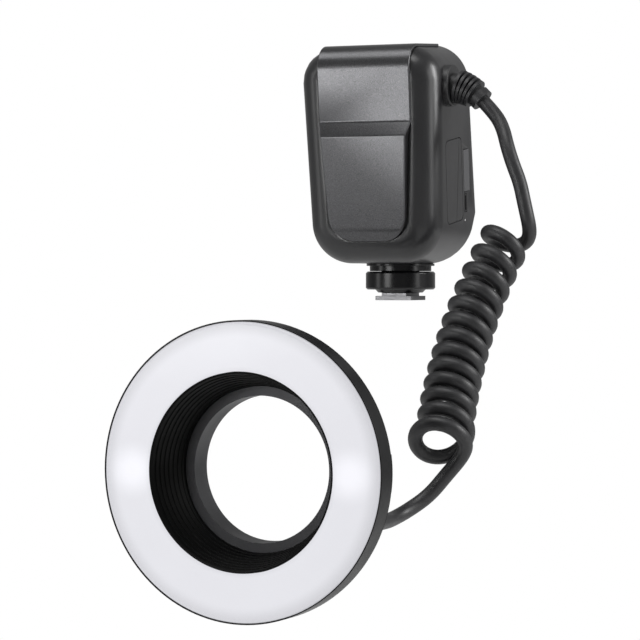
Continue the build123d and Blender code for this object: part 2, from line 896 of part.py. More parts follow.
def boot_point(share):
    """Place along the bent axis of the controller's boot, and its slope downwards."""
    start = radians(boot_start_angle)
    angle = start + share * radians(boot_end_angle - boot_start_angle)
    x = boot_base_x + boot_base_thickness / 2 + boot_radius * (sin(angle) - sin(start))
    z = boot_z - boot_radius * (cos(start) - cos(angle))
    return Plane(origin=(x, boot_y, z), x_dir=(0, 1, 0), z_dir=(cos(angle), 0, -sin(angle)))


def between(low, high, share):
    """A value between two, by share."""
    return low + (high - low) * share


boot_section_shares = [section / boot_sections for section in range(boot_sections + 1)]
boot_base_share = boot_base_thickness / boot_length
boot_cap_share = boot_cap_length / boot_length
with BuildPart() as cord_boot:
    for share in boot_section_shares:
        with BuildSketch(boot_point(share)):
            Circle(between(boot_core_large, boot_core_small, share))
    loft()
    with BuildPart() as boot_base:
        with BuildSketch(Plane.YZ.offset(boot_base_x - boot_root)):
            with Locations((boot_y, boot_z)):
                Circle(boot_base_radius)
        extrude(amount=boot_root + boot_base_thickness)
        fillet(boot_base.faces().sort_by(Axis.X)[-1].edges(), boot_base_edge)
        add(body_outer, mode=Mode.SUBTRACT)
    rib_span = 1 - boot_base_share - boot_cap_share
    for rib in range(boot_rib_count):
        share = boot_base_share + rib_span * (rib + 1) / (boot_rib_count + 1)
        with BuildSketch(boot_point(share)):
            Circle(between(boot_rib_large, boot_rib_small, share))
        extrude(amount=boot_rib_thickness / 2, both=True)
    with BuildSketch(boot_point(1)):
        Circle(boot_cap_radius)
    extrude(amount=-boot_cap_length)
save(cord_boot, "cord_boot")

# Boot at the ring head
gland_turn = radians(gland_angle)
gland_circle = head_radius - gland_inset
gland_x = gland_circle * cos(gland_turn)
gland_z = -head_axis - gland_circle * sin(gland_turn)
gland_low_y = head_depth - head_front


def gland_plane(distance):
    """Plane across the ring head's boot, facing back."""
    return Plane(origin=(gland_x, gland_low_y + distance, gland_z), x_dir=(-1, 0, 0), z_dir=(0, 1, 0))


with BuildPart() as head_boot:
    with BuildSketch(gland_plane(0)):
        Circle(gland_base_radius)
    with BuildSketch(gland_plane(gland_length)):
        Circle(gland_tip_radius)
    loft()
    for rib in range(gland_rib_count):
        share = (rib + 1) / (gland_rib_count + 1)
        with BuildSketch(gland_plane(share * gland_length)):
            Circle(between(gland_base_radius, gland_rib_radius, share))
        extrude(amount=gland_rib_thickness / 2, both=True)
save(head_boot, "head_boot")

# Curly cord: a left-handed helix round a bent, leaning axis. Its curls stand wider apart at the
# top, and at both ends the helix opens out so that the cord leaves it steeply.
lean = radians(curl_lean)
swing = radians(curl_swing)
curl_bow = radians(curl_bend)
curl_way = Vector(sin(swing), -sin(lean) * cos(swing), -cos(lean) * cos(swing))
curl_side = (Vector(1, 0, 0) - curl_way * curl_way.X).normalized()
curl_back = curl_side.cross(curl_way)
curl_span = curl_turns + curl_part_turn_share
pitch_bend = 2 * (curl_pitch_top + curl_pitch_bottom - 2 * curl_pitch_middle) / curl_span**2
pitch_slope = (4 * curl_pitch_middle - 3 * curl_pitch_top - curl_pitch_bottom) / curl_span


def curl_drop(turn):
    """Distance along the coil's axis after that many turns."""
    opening = 1 - exp(-turn / curl_lead_share)
    closing = exp((turn - curl_span) / curl_lead_share)
    steady = curl_pitch_top * turn + pitch_slope * turn**2 / 2 + pitch_bend * turn**3 / 3
    return steady + curl_lead * (opening + closing)


curl_axis_radius = curl_drop(curl_span) / curl_bow


def curl_point(turn):
    """Point on the coil's centre line."""
    around = 2 * pi * (turn + curl_start_share)
    bow = curl_bow * (curl_drop(turn) / curl_drop(curl_span) - 1 / 2)
    along = curl_way * (sin(bow) + sin(curl_bow / 2)) + curl_side * (cos(curl_bow / 2) - cos(bow))
    outward = curl_side * cos(bow) - curl_way * sin(bow)
    radius = curl_radius_top + (curl_radius_bottom - curl_radius_top) * turn / curl_span
    radial = outward * cos(around) + curl_back * sin(around)
    return Vector(*curl_top) + along * curl_axis_radius + radial * radius


def curl_tangent(turn):
    """Direction of the coil's centre line, from two points close on both sides."""
    step = curl_lead_share / 100
    return (curl_point(turn + step) - curl_point(turn - step)).normalized()


def biarc(start, start_way, end, end_way):
    """Two arcs that leave the start one way and reach the end the other way."""
    reach = end - start
    ways = start_way + end_way
    spread = 2 * (1 - start_way.dot(end_way))
    along = reach.dot(ways)
    arm = (sqrt(along**2 + spread * reach.dot(reach)) - along) / spread
    first = start + start_way * arm
    second = end - end_way * arm
    middle = (first + second) * 0.5
    middle_way = (second - first).normalized()
    TangentArc(start, middle, tangent=start_way)
    TangentArc(middle, end, tangent=middle_way)


first_stops = [stop / 4 for stop in range(4)]
middle_stops = [stop / 2 for stop in range(2, 2 * curl_turns - 2)]
last_stops = [curl_turns - 1 + stop * (1 + curl_part_turn_share) / 5 for stop in range(6)]
curl_stops = first_stops + middle_stops + last_stops
curl_start = curl_point(0) - curl_tangent(0) * cord_diameter
curl_end = curl_point(curl_span) + curl_tangent(curl_span) * cord_diameter
with BuildPart() as cord_coil:
    with BuildLine() as coil_path:
        Line(curl_start, curl_point(0))
        for here, there in zip(curl_stops, curl_stops[1:]):
            biarc(curl_point(here), curl_tangent(here), curl_point(there), curl_tangent(there))
        Line(curl_point(curl_span), curl_end)
    with BuildSketch(Plane(origin=curl_start, z_dir=curl_tangent(0))):
        Circle(cord_diameter / 2)
    sweep()
save(cord_coil, "cord_coil")


def least_gap(samples_per_turn):
    """Least free gap between turns of the coil, measured on points a half turn or more apart."""
    count = curl_turns * samples_per_turn
    points = [curl_point(i / samples_per_turn) for i in range(count)]
    apart = samples_per_turn // 2
    spans = [(points[i] - points[j]).length for i in range(count) for j in range(i + apart, count)]
    return min(spans) - cord_diameter


print("least gap between curls", round(least_gap(24), 2))


def route_radii(points):
    """Radius for each corner of a route: a share of the shorter run over the tangent of half the turn."""
    radii = []
    for before, here, after in zip(points, points[1:], points[2:]):
        run_in = here - before
        run_out = after - here
        half_turn = radians(run_in.get_angle(run_out)) / 2
        radii.append(corner_share * min(run_in.length, run_out.length) / tan(half_turn))
    return radii


def cord_stretch(points):
    """A tube along a route with rounded corners."""
    radii = route_radii(points)
    print("runs", [round((b - a).length, 1) for a, b in zip(points, points[1:])])
    print("radii", [round(radius, 1) for radius in radii])
    with BuildPart() as stretch:
        with BuildLine() as path:
            FilletPolyline(*points, radius=radii)
        with BuildSketch(Plane(origin=points[0], z_dir=points[1] - points[0])):
            Circle(cord_diameter / 2)
        sweep()
    print("length", round(path.wire().length, 1))
    return stretch.part


boot_tip = boot_point(1)
last_drop = curl_start - curl_tangent(0) * (drop_run_share * cord_diameter)
tip_run = boot_tip.origin + boot_tip.z_dir * (tip_run_share * cord_diameter)
upper_middle = [Vector(*point) for point in upper_route]
upper_points = [boot_tip.origin, tip_run] + upper_middle + [last_drop, curl_start]
with BuildPart() as cord_upper:
    add(cord_stretch(upper_points))
save(cord_upper, "cord_upper")

gland_tip = gland_plane(gland_length)
gland_run = gland_plane(gland_length + gland_run_share * cord_diameter).origin
first_drop = curl_end + curl_tangent(curl_span) * (first_drop_share * cord_diameter)
lower_middle = [Vector(*point) for point in lower_route]
lower_points = [curl_end, first_drop] + lower_middle + [gland_run, gland_tip.origin]
with BuildPart() as cord_lower:
    add(cord_stretch(lower_points))
save(cord_lower, "cord_lower")
print("coil length", round(coil_path.wire().length, 1))

# Ring head. Profiles are drawn with x as the depth behind the front and y as the radius.


def turned(points):
    """A ring turned round the head's axis from its section."""
    with BuildPart() as ring:
        with BuildSketch(head_section):
            with BuildLine():
                Polyline(*points, close=True)
            make_face()
        revolve(axis=head_line)
    return ring.part


# Barrel: the black outer rim, with a seat for the diffuser and a lip inside the rear cover
with BuildPart() as ring_barrel:
    add(turned([
        (barrel_lip, head_radius),
        (barrel_depth, head_radius),
        (barrel_depth, head_radius - shell_wall),
        (barrel_depth + barrel_lip, head_radius - shell_wall),
        (barrel_depth + barrel_lip, head_radius - 2 * shell_wall),
        (skirt_depth + seat_gap, head_radius - 2 * shell_wall),
        (skirt_depth + seat_gap, diffuser_radius + seat_gap),
        (barrel_lip, diffuser_radius + seat_gap),
    ]))
    post_start = reflector_floor + seat_gap
    with BuildSketch(head_plane(post_start)):
        with PolarLocations(cover_screw_circle, cover_screw_count, start_angle=cover_screw_turn):
            Circle(cover_post_radius)
    extrude(amount=head_depth - shell_wall - seat_gap - post_start)
    with BuildSketch(head_plane(post_start)):
        web_middle = (cover_screw_circle + cover_post_radius + head_radius - shell_wall) / 2
        with PolarLocations(web_middle, cover_screw_count, start_angle=cover_screw_turn):
            Rectangle(head_radius - shell_wall - cover_screw_circle - cover_post_radius / 2, cover_post_web)
    extrude(amount=barrel_depth - post_start)
    with BuildSketch(head_plane(head_depth)):
        with PolarLocations(cover_screw_circle, cover_screw_count, start_angle=cover_screw_turn):
            Circle(cover_screw_shaft + hinge_gap)
    extrude(amount=-cover_screw_sink - cover_screw_length - seat_gap, mode=Mode.SUBTRACT)
save(ring_barrel, "ring_barrel")

# Diffuser: a flat translucent ring with a rounded rim and a skirt at each edge
with BuildPart() as diffuser:
    with BuildSketch(head_section) as section:
        with BuildLine():
            Polyline(
                (0, hole_lip_radius + seat_gap),
                (0, diffuser_radius),
                (skirt_depth, diffuser_radius),
                (skirt_depth, diffuser_radius - diffuser_skirt),
                (diffuser_thickness, diffuser_radius - diffuser_skirt),
                (diffuser_thickness, hole_lip_radius + seat_gap + diffuser_skirt),
                (skirt_depth, hole_lip_radius + seat_gap + diffuser_skirt),
                (skirt_depth, hole_lip_radius + seat_gap),
                close=True,
            )
        make_face()
        fillet(section.vertices().group_by(Axis.X)[0].sort_by(Axis.Y)[-1], diffuser_round)
    revolve(axis=head_line)
save(diffuser, "diffuser")

# Inner tube: steps inwards from the hole's edge to the rear lip, like a light baffle
step_depth = (tube_depth - barrel_lip) / tube_step_count
step_in = (hole_radius - tube_rear_radius) / (tube_step_count - 1 / 2)
tube_steps = []
for step in range(tube_step_count):
    depth = barrel_lip + step * step_depth
    radius = hole_radius - step * step_in
    tube_steps.append((depth, radius))
    tube_steps.append((depth + step_depth, radius - step_in / 2))
with BuildPart() as inner_tube:
    add(turned(
        [(0, hole_lip_radius)]
        + tube_steps
        + [
            (tube_depth, tube_rear_radius + 2 * tube_wall),
            (tube_depth - tube_taper, hole_lip_radius),
        ]
    ))
save(inner_tube, "inner_tube")

# Rear cover: a bowl from the barrel to the flat back, with the adapter's bore
cover_bore = adapter_radius + hinge_gap
claw_depth = adapter_front + groove_start + groove_width / 2
cover_start = barrel_depth + seat_gap
cover_slope = cover_shoulder / (head_depth - cover_start)
cover_thickness = shell_wall * sqrt(1 + cover_slope**2)
lip_end = cover_start + barrel_lip + seat_gap


def cover_radius(depth):
    """Outer radius of the cover's cone at a depth."""
    return head_radius - (depth - cover_start) * cover_slope


with BuildPart() as rear_cover:
    with BuildSketch(head_section) as section:
        with BuildLine():
            Polyline(
                (cover_start, head_radius - shell_wall + seat_gap),
                (cover_start, head_radius),
                (head_depth, cover_flat_radius),
                (head_depth, cover_bore),
                (tube_depth + seat_gap, cover_bore),
                (tube_depth + seat_gap, cover_bore + shell_wall),
                (head_depth - shell_wall, cover_bore + shell_wall),
                (head_depth - shell_wall, cover_radius(head_depth - shell_wall) - cover_thickness),
                (lip_end, cover_radius(lip_end) - cover_thickness),
                (lip_end, head_radius - shell_wall + seat_gap),
                close=True,
            )
        make_face()
        fillet(section.vertices().sort_by_distance((head_depth, cover_flat_radius))[0], cover_back_round)
    revolve(axis=head_line)
    with BuildSketch(head_plane(head_depth)):
        with PolarLocations(cover_screw_circle, cover_screw_count, start_angle=cover_screw_turn):
            Circle(cover_screw_head + seat_gap)
    extrude(amount=-cover_screw_sink, mode=Mode.SUBTRACT)
    with BuildSketch(head_plane(head_depth)):
        with PolarLocations(cover_screw_circle, cover_screw_count, start_angle=cover_screw_turn):
            Circle(cover_screw_shaft + hinge_gap)
    extrude(amount=-overrun, mode=Mode.SUBTRACT)
    with BuildSketch(head_plane(button_depth - button_height / 2 - slide_gap)):
        with PolarLocations(head_radius, 2):
            Rectangle(4 * overrun, button_width + 2 * slide_gap)
    extrude(amount=button_height + 2 * slide_gap, mode=Mode.SUBTRACT)
    with BuildSketch(head_plane(claw_depth - claw_thickness / 2 - slide_gap)):
        with PolarLocations(cover_bore, 2):
            Rectangle(2 * overrun, claw_width + 2 * slide_gap)
    extrude(amount=claw_thickness + 2 * slide_gap, mode=Mode.SUBTRACT)
save(rear_cover, "rear_cover")

# Screws that hold the cover to the barrel's posts
with BuildPart() as cover_screws:
    with BuildSketch(head_plane(head_depth - seat_gap)):
        with PolarLocations(cover_screw_circle, cover_screw_count, start_angle=cover_screw_turn):
            Circle(cover_screw_head)
    extrude(amount=seat_gap - cover_screw_sink)
    with BuildSketch(head_plane(head_depth - cover_screw_sink)):
        with PolarLocations(cover_screw_circle, cover_screw_count, start_angle=cover_screw_turn):
            Circle(cover_screw_shaft)
    extrude(amount=-cover_screw_length)
save(cover_screws, "cover_screws")


# Reflector: a polished trough behind the diffuser, with holes for the two focus lamps
lamp_sides = {"left": 180, "right": 0}
trough_top = skirt_depth + seat_gap
with BuildPart() as reflector:
    with BuildSketch(head_section) as section:
        with BuildLine():
            Polyline(
                (trough_top, reflector_inner),
                (reflector_floor, reflector_inner + reflector_wall),
                (reflector_floor, reflector_outer - reflector_wall),
                (trough_top, reflector_outer),
                (trough_top, reflector_outer - reflector_wall),
                (reflector_floor - reflector_wall, reflector_outer - 2 * reflector_wall),
                (reflector_floor - reflector_wall, reflector_inner + 2 * reflector_wall),
                (trough_top, reflector_inner + reflector_wall),
                close=True,
            )
        make_face()
    revolve(axis=head_line)
save(reflector, "reflector")

# Two half-ring xenon tubes with a rubber cap at each end, left and right of the hole
for side, middle in lamp_sides.items():
    tube_plane = head_plane(xenon_depth)
    with BuildPart() as flash_tube:
        with BuildLine(tube_plane):
            tube_arc = CenterArc((0, 0), xenon_circle, 180 - middle - xenon_sweep / 2, xenon_sweep)
        with BuildSketch(Plane(origin=tube_arc @ 0, z_dir=tube_arc % 0)):
            Circle(xenon_radius)
        sweep()
    save(flash_tube, f"flash_tube_{side}")

    with BuildPart() as end_caps:
        for spot, way in ((tube_arc @ 0, -(tube_arc % 0)), (tube_arc @ 1, tube_arc % 1)):
            with BuildSketch(Plane(origin=spot, z_dir=way)):
                Circle(end_cap_radius)
            extrude(amount=end_cap_length)
    save(end_caps, f"tube_caps_{side}")

    # Focus lamp: a small dome on a square base on the floor of the trough
    with BuildPart() as focus_lamp:
        lamp_x = lamp_circle if side == "left" else -lamp_circle
        lamp_floor = reflector_floor - reflector_wall
        with BuildSketch(head_plane(lamp_floor)):
            with Locations((lamp_x, 0)):
                Rectangle(2 * lamp_base, 2 * lamp_base)
        extrude(amount=-lamp_base_thickness)
        with BuildSketch(head_plane(lamp_floor - lamp_base_thickness)):
            with Locations((lamp_x, 0)):
                Circle(lamp_radius)
        extrude(amount=lamp_base_thickness + lamp_depth - lamp_floor)
        fillet(focus_lamp.faces().sort_by(Axis.Y)[0].edges(), lamp_radius * lamp_dome_share)
    save(focus_lamp, f"focus_lamp_{side}")

# Ring board behind the reflector
with BuildPart() as ring_board:
    with BuildSketch(head_plane(ring_board_depth)):
        Circle(ring_board_outer)
        Circle(ring_board_inner, mode=Mode.SUBTRACT)
        with PolarLocations(cover_screw_circle, cover_screw_count, start_angle=cover_screw_turn):
            Circle(cover_post_radius + slide_gap, mode=Mode.SUBTRACT)
    extrude(amount=board_thickness)
save(ring_board, "ring_board")

# Release buttons, and the yokes that carry each one's claw on the far side of the hole
yoke_sizes = {
    "left": (yoke_inner_left, yoke_from_back_left),
    "right": (yoke_inner_right, yoke_from_back_right),
}
for side, (yoke_inner, yoke_from_back) in yoke_sizes.items():
    yoke_depth = head_depth - yoke_from_back
    toward = 1 if side == "left" else -1
    root = head_radius - button_reach
    with BuildPart() as release_button:
        with BuildSketch(head_plane(button_depth - button_height / 2)):
            with Locations((toward * (root + head_radius + overrun) / 2, 0)):
                Rectangle(head_radius + overrun - root, button_width)
        extrude(amount=button_height)
        with BuildSketch(head_plane(0)):
            Circle(head_radius - button_face_sink)
        extrude(amount=2 * head_depth, mode=Mode.INTERSECT)
        fillet(release_button.edges().filter_by(Axis.Y).sort_by(Axis.X)[::3], button_lip / 2)
        with BuildSketch(head_plane(button_depth - button_height / 2 - button_lip / 2)):
            with Locations((toward * (root + button_flange / 2), 0)):
                Rectangle(button_flange, button_width + 2 * button_lip)
        extrude(amount=button_height + button_lip)
        with BuildSketch(head_plane(yoke_depth - hinge_gap)):
            with Locations((toward * root, 0)):
                Rectangle(2 * overrun, claw_width + 2 * hinge_gap)
        extrude(amount=yoke_thickness + 2 * hinge_gap, mode=Mode.SUBTRACT)
    save(release_button, f"release_button_{side}")

    with BuildPart() as latch_yoke:
        with BuildSketch(head_plane(yoke_depth)):
            Circle(yoke_inner + yoke_width)
            with Locations((toward * (yoke_inner + yoke_width / 2 + root + overrun) / 2, 0)):
                Rectangle(root + overrun - hinge_gap - yoke_inner - yoke_width / 2, claw_width)
            Circle(yoke_inner, mode=Mode.SUBTRACT)
            with Locations((-toward * (yoke_inner - claw_heel / 2 + yoke_width / 4), 0)):
                Rectangle(claw_heel + yoke_width / 2, claw_width)
        extrude(amount=yoke_thickness)
        with BuildSketch(head_plane(yoke_depth)):
            with Locations((-toward * (yoke_inner - claw_heel / 2), 0)):
                Rectangle(claw_heel, claw_width)
        extrude(amount=claw_depth + claw_thickness / 2 - yoke_depth)
        with BuildSketch(head_plane(claw_depth - claw_thickness / 2)):
            claw_tip = adapter_radius - claw_bite
            with Locations((-toward * (claw_tip + yoke_inner) / 2, 0)):
                Rectangle(yoke_inner - claw_tip, claw_width)
        extrude(amount=claw_thickness)
    save(latch_yoke, f"latch_yoke_{side}")

# Adapter ring: a grooved disc in the cover's bore, a notched grip behind it and the lens thread
disc_end = adapter_front + adapter_disc
adapter_grip_radius = adapter_radius + adapter_grip_rim
grip_end = disc_end + adapter_grip_thickness
with BuildPart() as adapter_ring:
    add(turned([
        (adapter_front, adapter_bore),
        (adapter_front, adapter_radius),
        (claw_depth - groove_width / 2, adapter_radius),
        (claw_depth - groove_floor / 2, adapter_radius - groove_depth),
        (claw_depth + groove_floor / 2, adapter_radius - groove_depth),
        (claw_depth + groove_width / 2, adapter_radius),
        (disc_end, adapter_radius),
        (disc_end, adapter_grip_radius),
        (grip_end, adapter_grip_radius),
        (grip_end, thread_radius),
        (grip_end + thread_length, thread_radius),
        (grip_end + thread_length, adapter_bore),
    ]))
    with BuildSketch(head_plane(disc_end)):
        with PolarLocations(adapter_grip_radius, adapter_grip_notches):
            Circle(adapter_notch_radius)
    extrude(amount=adapter_grip_thickness, mode=Mode.SUBTRACT)
save(adapter_ring, "adapter_ring")
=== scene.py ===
"""Looks of a macro ring flash: controller, curly cord and ring head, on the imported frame.

Everything is in the frame of the solids: +Z up, -Y towards the subject, and the origin at the centre
of the underside of the shoe foot. Sizes are in metres, apart from the cord's route, which is in
millimetres as in the solids.
"""
from math import cos, exp, pi, radians, sin

import bmesh
import bpy
from bpy.props import FloatProperty, FloatVectorProperty, IntProperty, PointerProperty
from mathutils import Matrix, Vector
from mathutils.bvhtree import BVHTree


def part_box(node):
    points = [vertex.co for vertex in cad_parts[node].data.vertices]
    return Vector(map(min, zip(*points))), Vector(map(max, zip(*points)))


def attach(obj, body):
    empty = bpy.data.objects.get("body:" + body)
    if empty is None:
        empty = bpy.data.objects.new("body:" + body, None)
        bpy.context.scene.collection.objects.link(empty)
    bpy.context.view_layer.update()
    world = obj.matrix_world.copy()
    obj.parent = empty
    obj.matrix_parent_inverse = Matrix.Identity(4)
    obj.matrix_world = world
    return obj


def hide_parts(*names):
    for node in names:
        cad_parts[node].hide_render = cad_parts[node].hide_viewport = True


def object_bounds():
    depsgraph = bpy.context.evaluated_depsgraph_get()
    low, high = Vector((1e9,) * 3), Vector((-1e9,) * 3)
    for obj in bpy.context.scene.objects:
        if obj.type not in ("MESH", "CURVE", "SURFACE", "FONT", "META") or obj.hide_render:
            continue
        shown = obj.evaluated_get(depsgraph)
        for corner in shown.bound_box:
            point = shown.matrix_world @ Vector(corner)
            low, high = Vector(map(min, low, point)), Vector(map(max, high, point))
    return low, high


bl_info = {
    "name": "Macro Ring Flash",
    "version": (1, 0, 0),
    "blender": (4, 5, 0),
    "location": "View3D > Sidebar > Ring Flash",
    "description": "Dresses the solids of a macro ring flash with its cord, finishes and fine detail",
    "category": "Object",
}

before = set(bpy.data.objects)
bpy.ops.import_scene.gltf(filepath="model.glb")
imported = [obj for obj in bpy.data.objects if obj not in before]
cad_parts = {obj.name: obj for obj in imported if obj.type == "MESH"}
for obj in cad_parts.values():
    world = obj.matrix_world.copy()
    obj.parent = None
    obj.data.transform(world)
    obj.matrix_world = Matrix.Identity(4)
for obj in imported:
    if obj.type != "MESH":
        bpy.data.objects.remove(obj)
solid_box = [list(corner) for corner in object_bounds()]

MM = 0.001
RIGHT = (1, 0, 0)

# Centre of the ring head's front, and the head's depth, in millimetres
HEAD_FRONT = Vector((0, -180.46, -69.85))
HEAD_DEPTH = 26.5

# Camera: place, elevation and azimuth in degrees, and lens and sensor in millimetres
CAMERA_PLACE = (0.48405, -1.22342, 0.01113)
CAMERA_ELEVATION = 0.894
CAMERA_AZIMUTH = 23.24
CAMERA_LENS = 156.9
CAMERA_SENSOR = 36.0

# Lamps: name, place, width and height, and power in watts
LAMPS = (
    ("lamp_left", (-1.35, -0.85, 0.35), (0.4, 1.3), 4.0),
    ("lamp_right", (1.40, 0.36, 0.64), (0.30, 0.8), 16.0),
    ("lamp_side", (1.38, -0.24, 0.30), (0.30, 1.1), 4.0),
    ("lamp_near", (-0.245, -0.62, 0.068), (0.22, 0.12), 1.0),
    ("lamp_top", (-0.10, -0.55, 1.35), (1.3, 0.7), 12.0),
)
LAMP_AIM = Vector((0, -0.08, 0.02))

# Surroundings: light on matt surfaces, and what glossy ones mirror in front and behind
ROOM_LIGHT = 0.30
ROOM_GLOSS = 0.26
BACKDROP_GLOSS = 0.42
BACKDROP_START = 0.1

# Floor: half its width, its colour, and a near and a far distance with its brightness to the camera
FLOOR_REACH = 40.0
FLOOR_COLOUR = (0.85, 0.85, 0.85, 1)
FLOOR_NEAR = (0.25, 0.80)
FLOOR_FAR = (0.9, 1.0)
WHITE = (1, 1, 1, 1)

# Diffuser's painted light: radii of the painted shade at the grey rim and inside the inner step, and of the
# painted glow over each focus lamp, each with its level
RIM_SHADE_RADII = (0.0555, 0.0622)
RIM_PAINTED_SHADE = 0.80
STEP_SHADE_RADII = (0.0418, 0.0440)
STEP_PAINTED_SHADE = 0.93
LAMP_CIRCLE = 0.0494
PAINTED_GLOW_RADII = (0.002, 0.0135)
PAINTED_GLOW_LIGHT = 0.24

# Adapter: pitch of the lens thread, and where its collar starts along Y
THREAD_PITCH = 0.00075
COLLAR_START = -0.1507
COLLAR_BLEND = 0.0001

# Forms cut into the solids: how straight a face looks the way of a cut, where the seam runs across
# the battery's depth, and how the index mark tapers
FACING = 0.95
SEAM_SHARE = 0.68
MARK_TAPER = 0.9

# Mesh work: corners this close join, faces this flat merge, and edges sharper than the crease stay
WELD_DISTANCE = 0.000004
FLAT_ANGLE = radians(0.4)
CREASE = radians(28.0)
CUT_TOLERANCE = 0.0000001


# Sizes and colours that a user would change


class RingFlashSizes(bpy.types.PropertyGroup):
    """Sizes of the dressed pieces"""

    cord_diameter: FloatProperty(
        name="Cord Diameter", description="Outer diameter of the cord", default=0.0065, subtype="DISTANCE"
    )
    curl_points: IntProperty(
        name="Points per Curl", description="Control points in one turn of the curly cord", default=16, min=12
    )
    housing_edge: FloatProperty(
        name="Housing Edge", description="Width of the rounding on the housing's edges",
        default=0.0004, subtype="DISTANCE",
    )
    strip_edge_share: FloatProperty(
        name="Strip Edge Share", description="Rounding on the strip, as a share of the housing's", default=1.7
    )
    key_edge: FloatProperty(
        name="Key Edge", description="Width of the rounding on keys and small pieces",
        default=0.0002, subtype="DISTANCE",
    )
    rib_edge_share: FloatProperty(
        name="Rib Edge Share", description="Rounding on the inner tube's ribs, as a share of the keys'",
        default=0.5,
    )
    latch_rim: FloatProperty(
        name="Latch Rim", description="Width and depth of the rim on the battery latch",
        default=0.0006, subtype="DISTANCE",
    )
    seam_width: FloatProperty(
        name="Seam Width", description="Width and depth of the seam across the battery's door",
        default=0.0003, subtype="DISTANCE",
    )
    mark_width: FloatProperty(
        name="Index Mark", description="Diameter of the white mark under the latch",
        default=0.0009, subtype="DISTANCE",
    )
    mark_drop: FloatProperty(
        name="Index Mark Drop", description="How far the mark lies under the latch",
        default=0.0024, subtype="DISTANCE",
    )
    floor_drop: FloatProperty(
        name="Floor Drop", description="How far the floor lies under the object",
        default=0.16, subtype="DISTANCE",
    )


class RingFlashColours(bpy.types.PropertyGroup):
    """Colours of the finishes"""

    cheek: FloatVectorProperty(
        name="Cheeks", description="Semi-gloss housing", subtype="COLOR", size=3,
        default=(0.014, 0.014, 0.015),
    )
    strip: FloatVectorProperty(
        name="Strip", description="Satin strip over the front", subtype="COLOR", size=3,
        default=(0.078, 0.078, 0.081),
    )
    rubber: FloatVectorProperty(
        name="Rubber", description="Cord and boots", subtype="COLOR", size=3,
        default=(0.013, 0.013, 0.014),
    )
    # Colour of the diffuser's painted glow: the cover is made to glow though it is no lamp
    diffuser: FloatVectorProperty(
        name="Diffuser", description="Light from the diffuser", subtype="COLOR", size=3,
        default=(0.665, 0.665, 0.705),
    )
    adapter: FloatVectorProperty(
        name="Adapter", description="Anodised adapter ring", subtype="COLOR", size=3,
        default=(0.030, 0.030, 0.032),
    )


# Steps that node trees share


def empty_tree(owner):
    """The node tree of a new material or world, with nothing in it."""
    owner.use_nodes = True
    owner.node_tree.nodes.clear()
    return owner.node_tree


def new_finish(name):
    """A new material, its tree, its shader and its Object coordinates."""
    finish = bpy.data.materials.new(name)
    tree = empty_tree(finish)
    output = tree.nodes.new("ShaderNodeOutputMaterial")
    shader = tree.nodes.new("ShaderNodeBsdfPrincipled")
    place = tree.nodes.new("ShaderNodeTexCoord")
    tree.links.new(shader.outputs["BSDF"], output.inputs["Surface"])
    return finish, tree, shader, place.outputs["Object"]


def add_noise(tree, place, scale, detail=3.0, roughness=0.5):
    """A noise texture in Object coordinates, with its scale in features per metre."""
    noise = tree.nodes.new("ShaderNodeTexNoise")
    noise.inputs["Scale"].default_value = scale
    noise.inputs["Detail"].default_value = detail
    noise.inputs["Roughness"].default_value = roughness
    tree.links.new(place, noise.inputs["Vector"])
    return noise.outputs["Fac"]


def add_range(tree, value, low, high, to_low, to_high, smooth=False):
    """Maps a value from one range to another, clamped."""
    ranged = tree.nodes.new("ShaderNodeMapRange")
    ranged.interpolation_type = "SMOOTHSTEP" if smooth else "LINEAR"
    ranged.inputs["From Min"].default_value = low
    ranged.inputs["From Max"].default_value = high
    ranged.inputs["To Min"].default_value = to_low
    ranged.inputs["To Max"].default_value = to_high
    tree.links.new(value, ranged.inputs["Value"])
    return ranged.outputs["Result"]


def add_math(tree, kind, first, second):
    """A math node of two values, each a socket or a number."""
    node = tree.nodes.new("ShaderNodeMath")
    node.operation = kind
    for socket, value in zip(node.inputs, (first, second)):
        if isinstance(value, (int, float)):
            socket.default_value = value
        else:
            tree.links.new(value, socket)
    return node.outputs["Value"]


def add_seen(tree, path):
    """One on rays that come from the camera, straight or through glass, and zero on the rest."""
    return add_math(tree, "MAXIMUM", path.outputs["Is Camera Ray"], path.outputs["Is Transmission Ray"])


def add_distance(tree, place, point, flat):
    """Distance of the surface from a point, with the axes that are zero in flat left out."""
    moved = tree.nodes.new("ShaderNodeVectorMath")
    moved.operation = "SUBTRACT"
    tree.links.new(place, moved.inputs[0])
    moved.inputs[1].default_value = point
    flattened = tree.nodes.new("ShaderNodeVectorMath")
    flattened.operation = "MULTIPLY"
    tree.links.new(moved.outputs["Vector"], flattened.inputs[0])
    flattened.inputs[1].default_value = flat
    length = tree.nodes.new("ShaderNodeVectorMath")
    length.operation = "LENGTH"
    tree.links.new(flattened.outputs["Vector"], length.inputs[0])
    return length.outputs["Value"]


def shade(colour, share):
    """A darker or lighter shade of a colour."""
    return tuple(part * share for part in colour)


def vary_colour(tree, shader, factor, first, second):
    """Lets the base colour go from one colour to another with a factor."""
    tree.links.new(mix_of(tree, factor, first, second), shader.inputs["Base Color"])


def vary_gloss(tree, shader, noise, smoothest, roughest, low=0.3, high=0.7):
    """Lets the roughness follow a noise, whose values mostly lie between low and high."""
    tree.links.new(add_range(tree, noise, low, high, smoothest, roughest), shader.inputs["Roughness"])


def mix_of(tree, factor, first, second):
    """Mixes two colours by a factor."""
    mix = tree.nodes.new("ShaderNodeMix")
    mix.data_type = "RGBA"
    tree.links.new(factor, mix.inputs["Factor"])
    mix.inputs["A"].default_value = (*first, 1)
    mix.inputs["B"].default_value = (*second, 1)
    return mix.outputs["Result"]


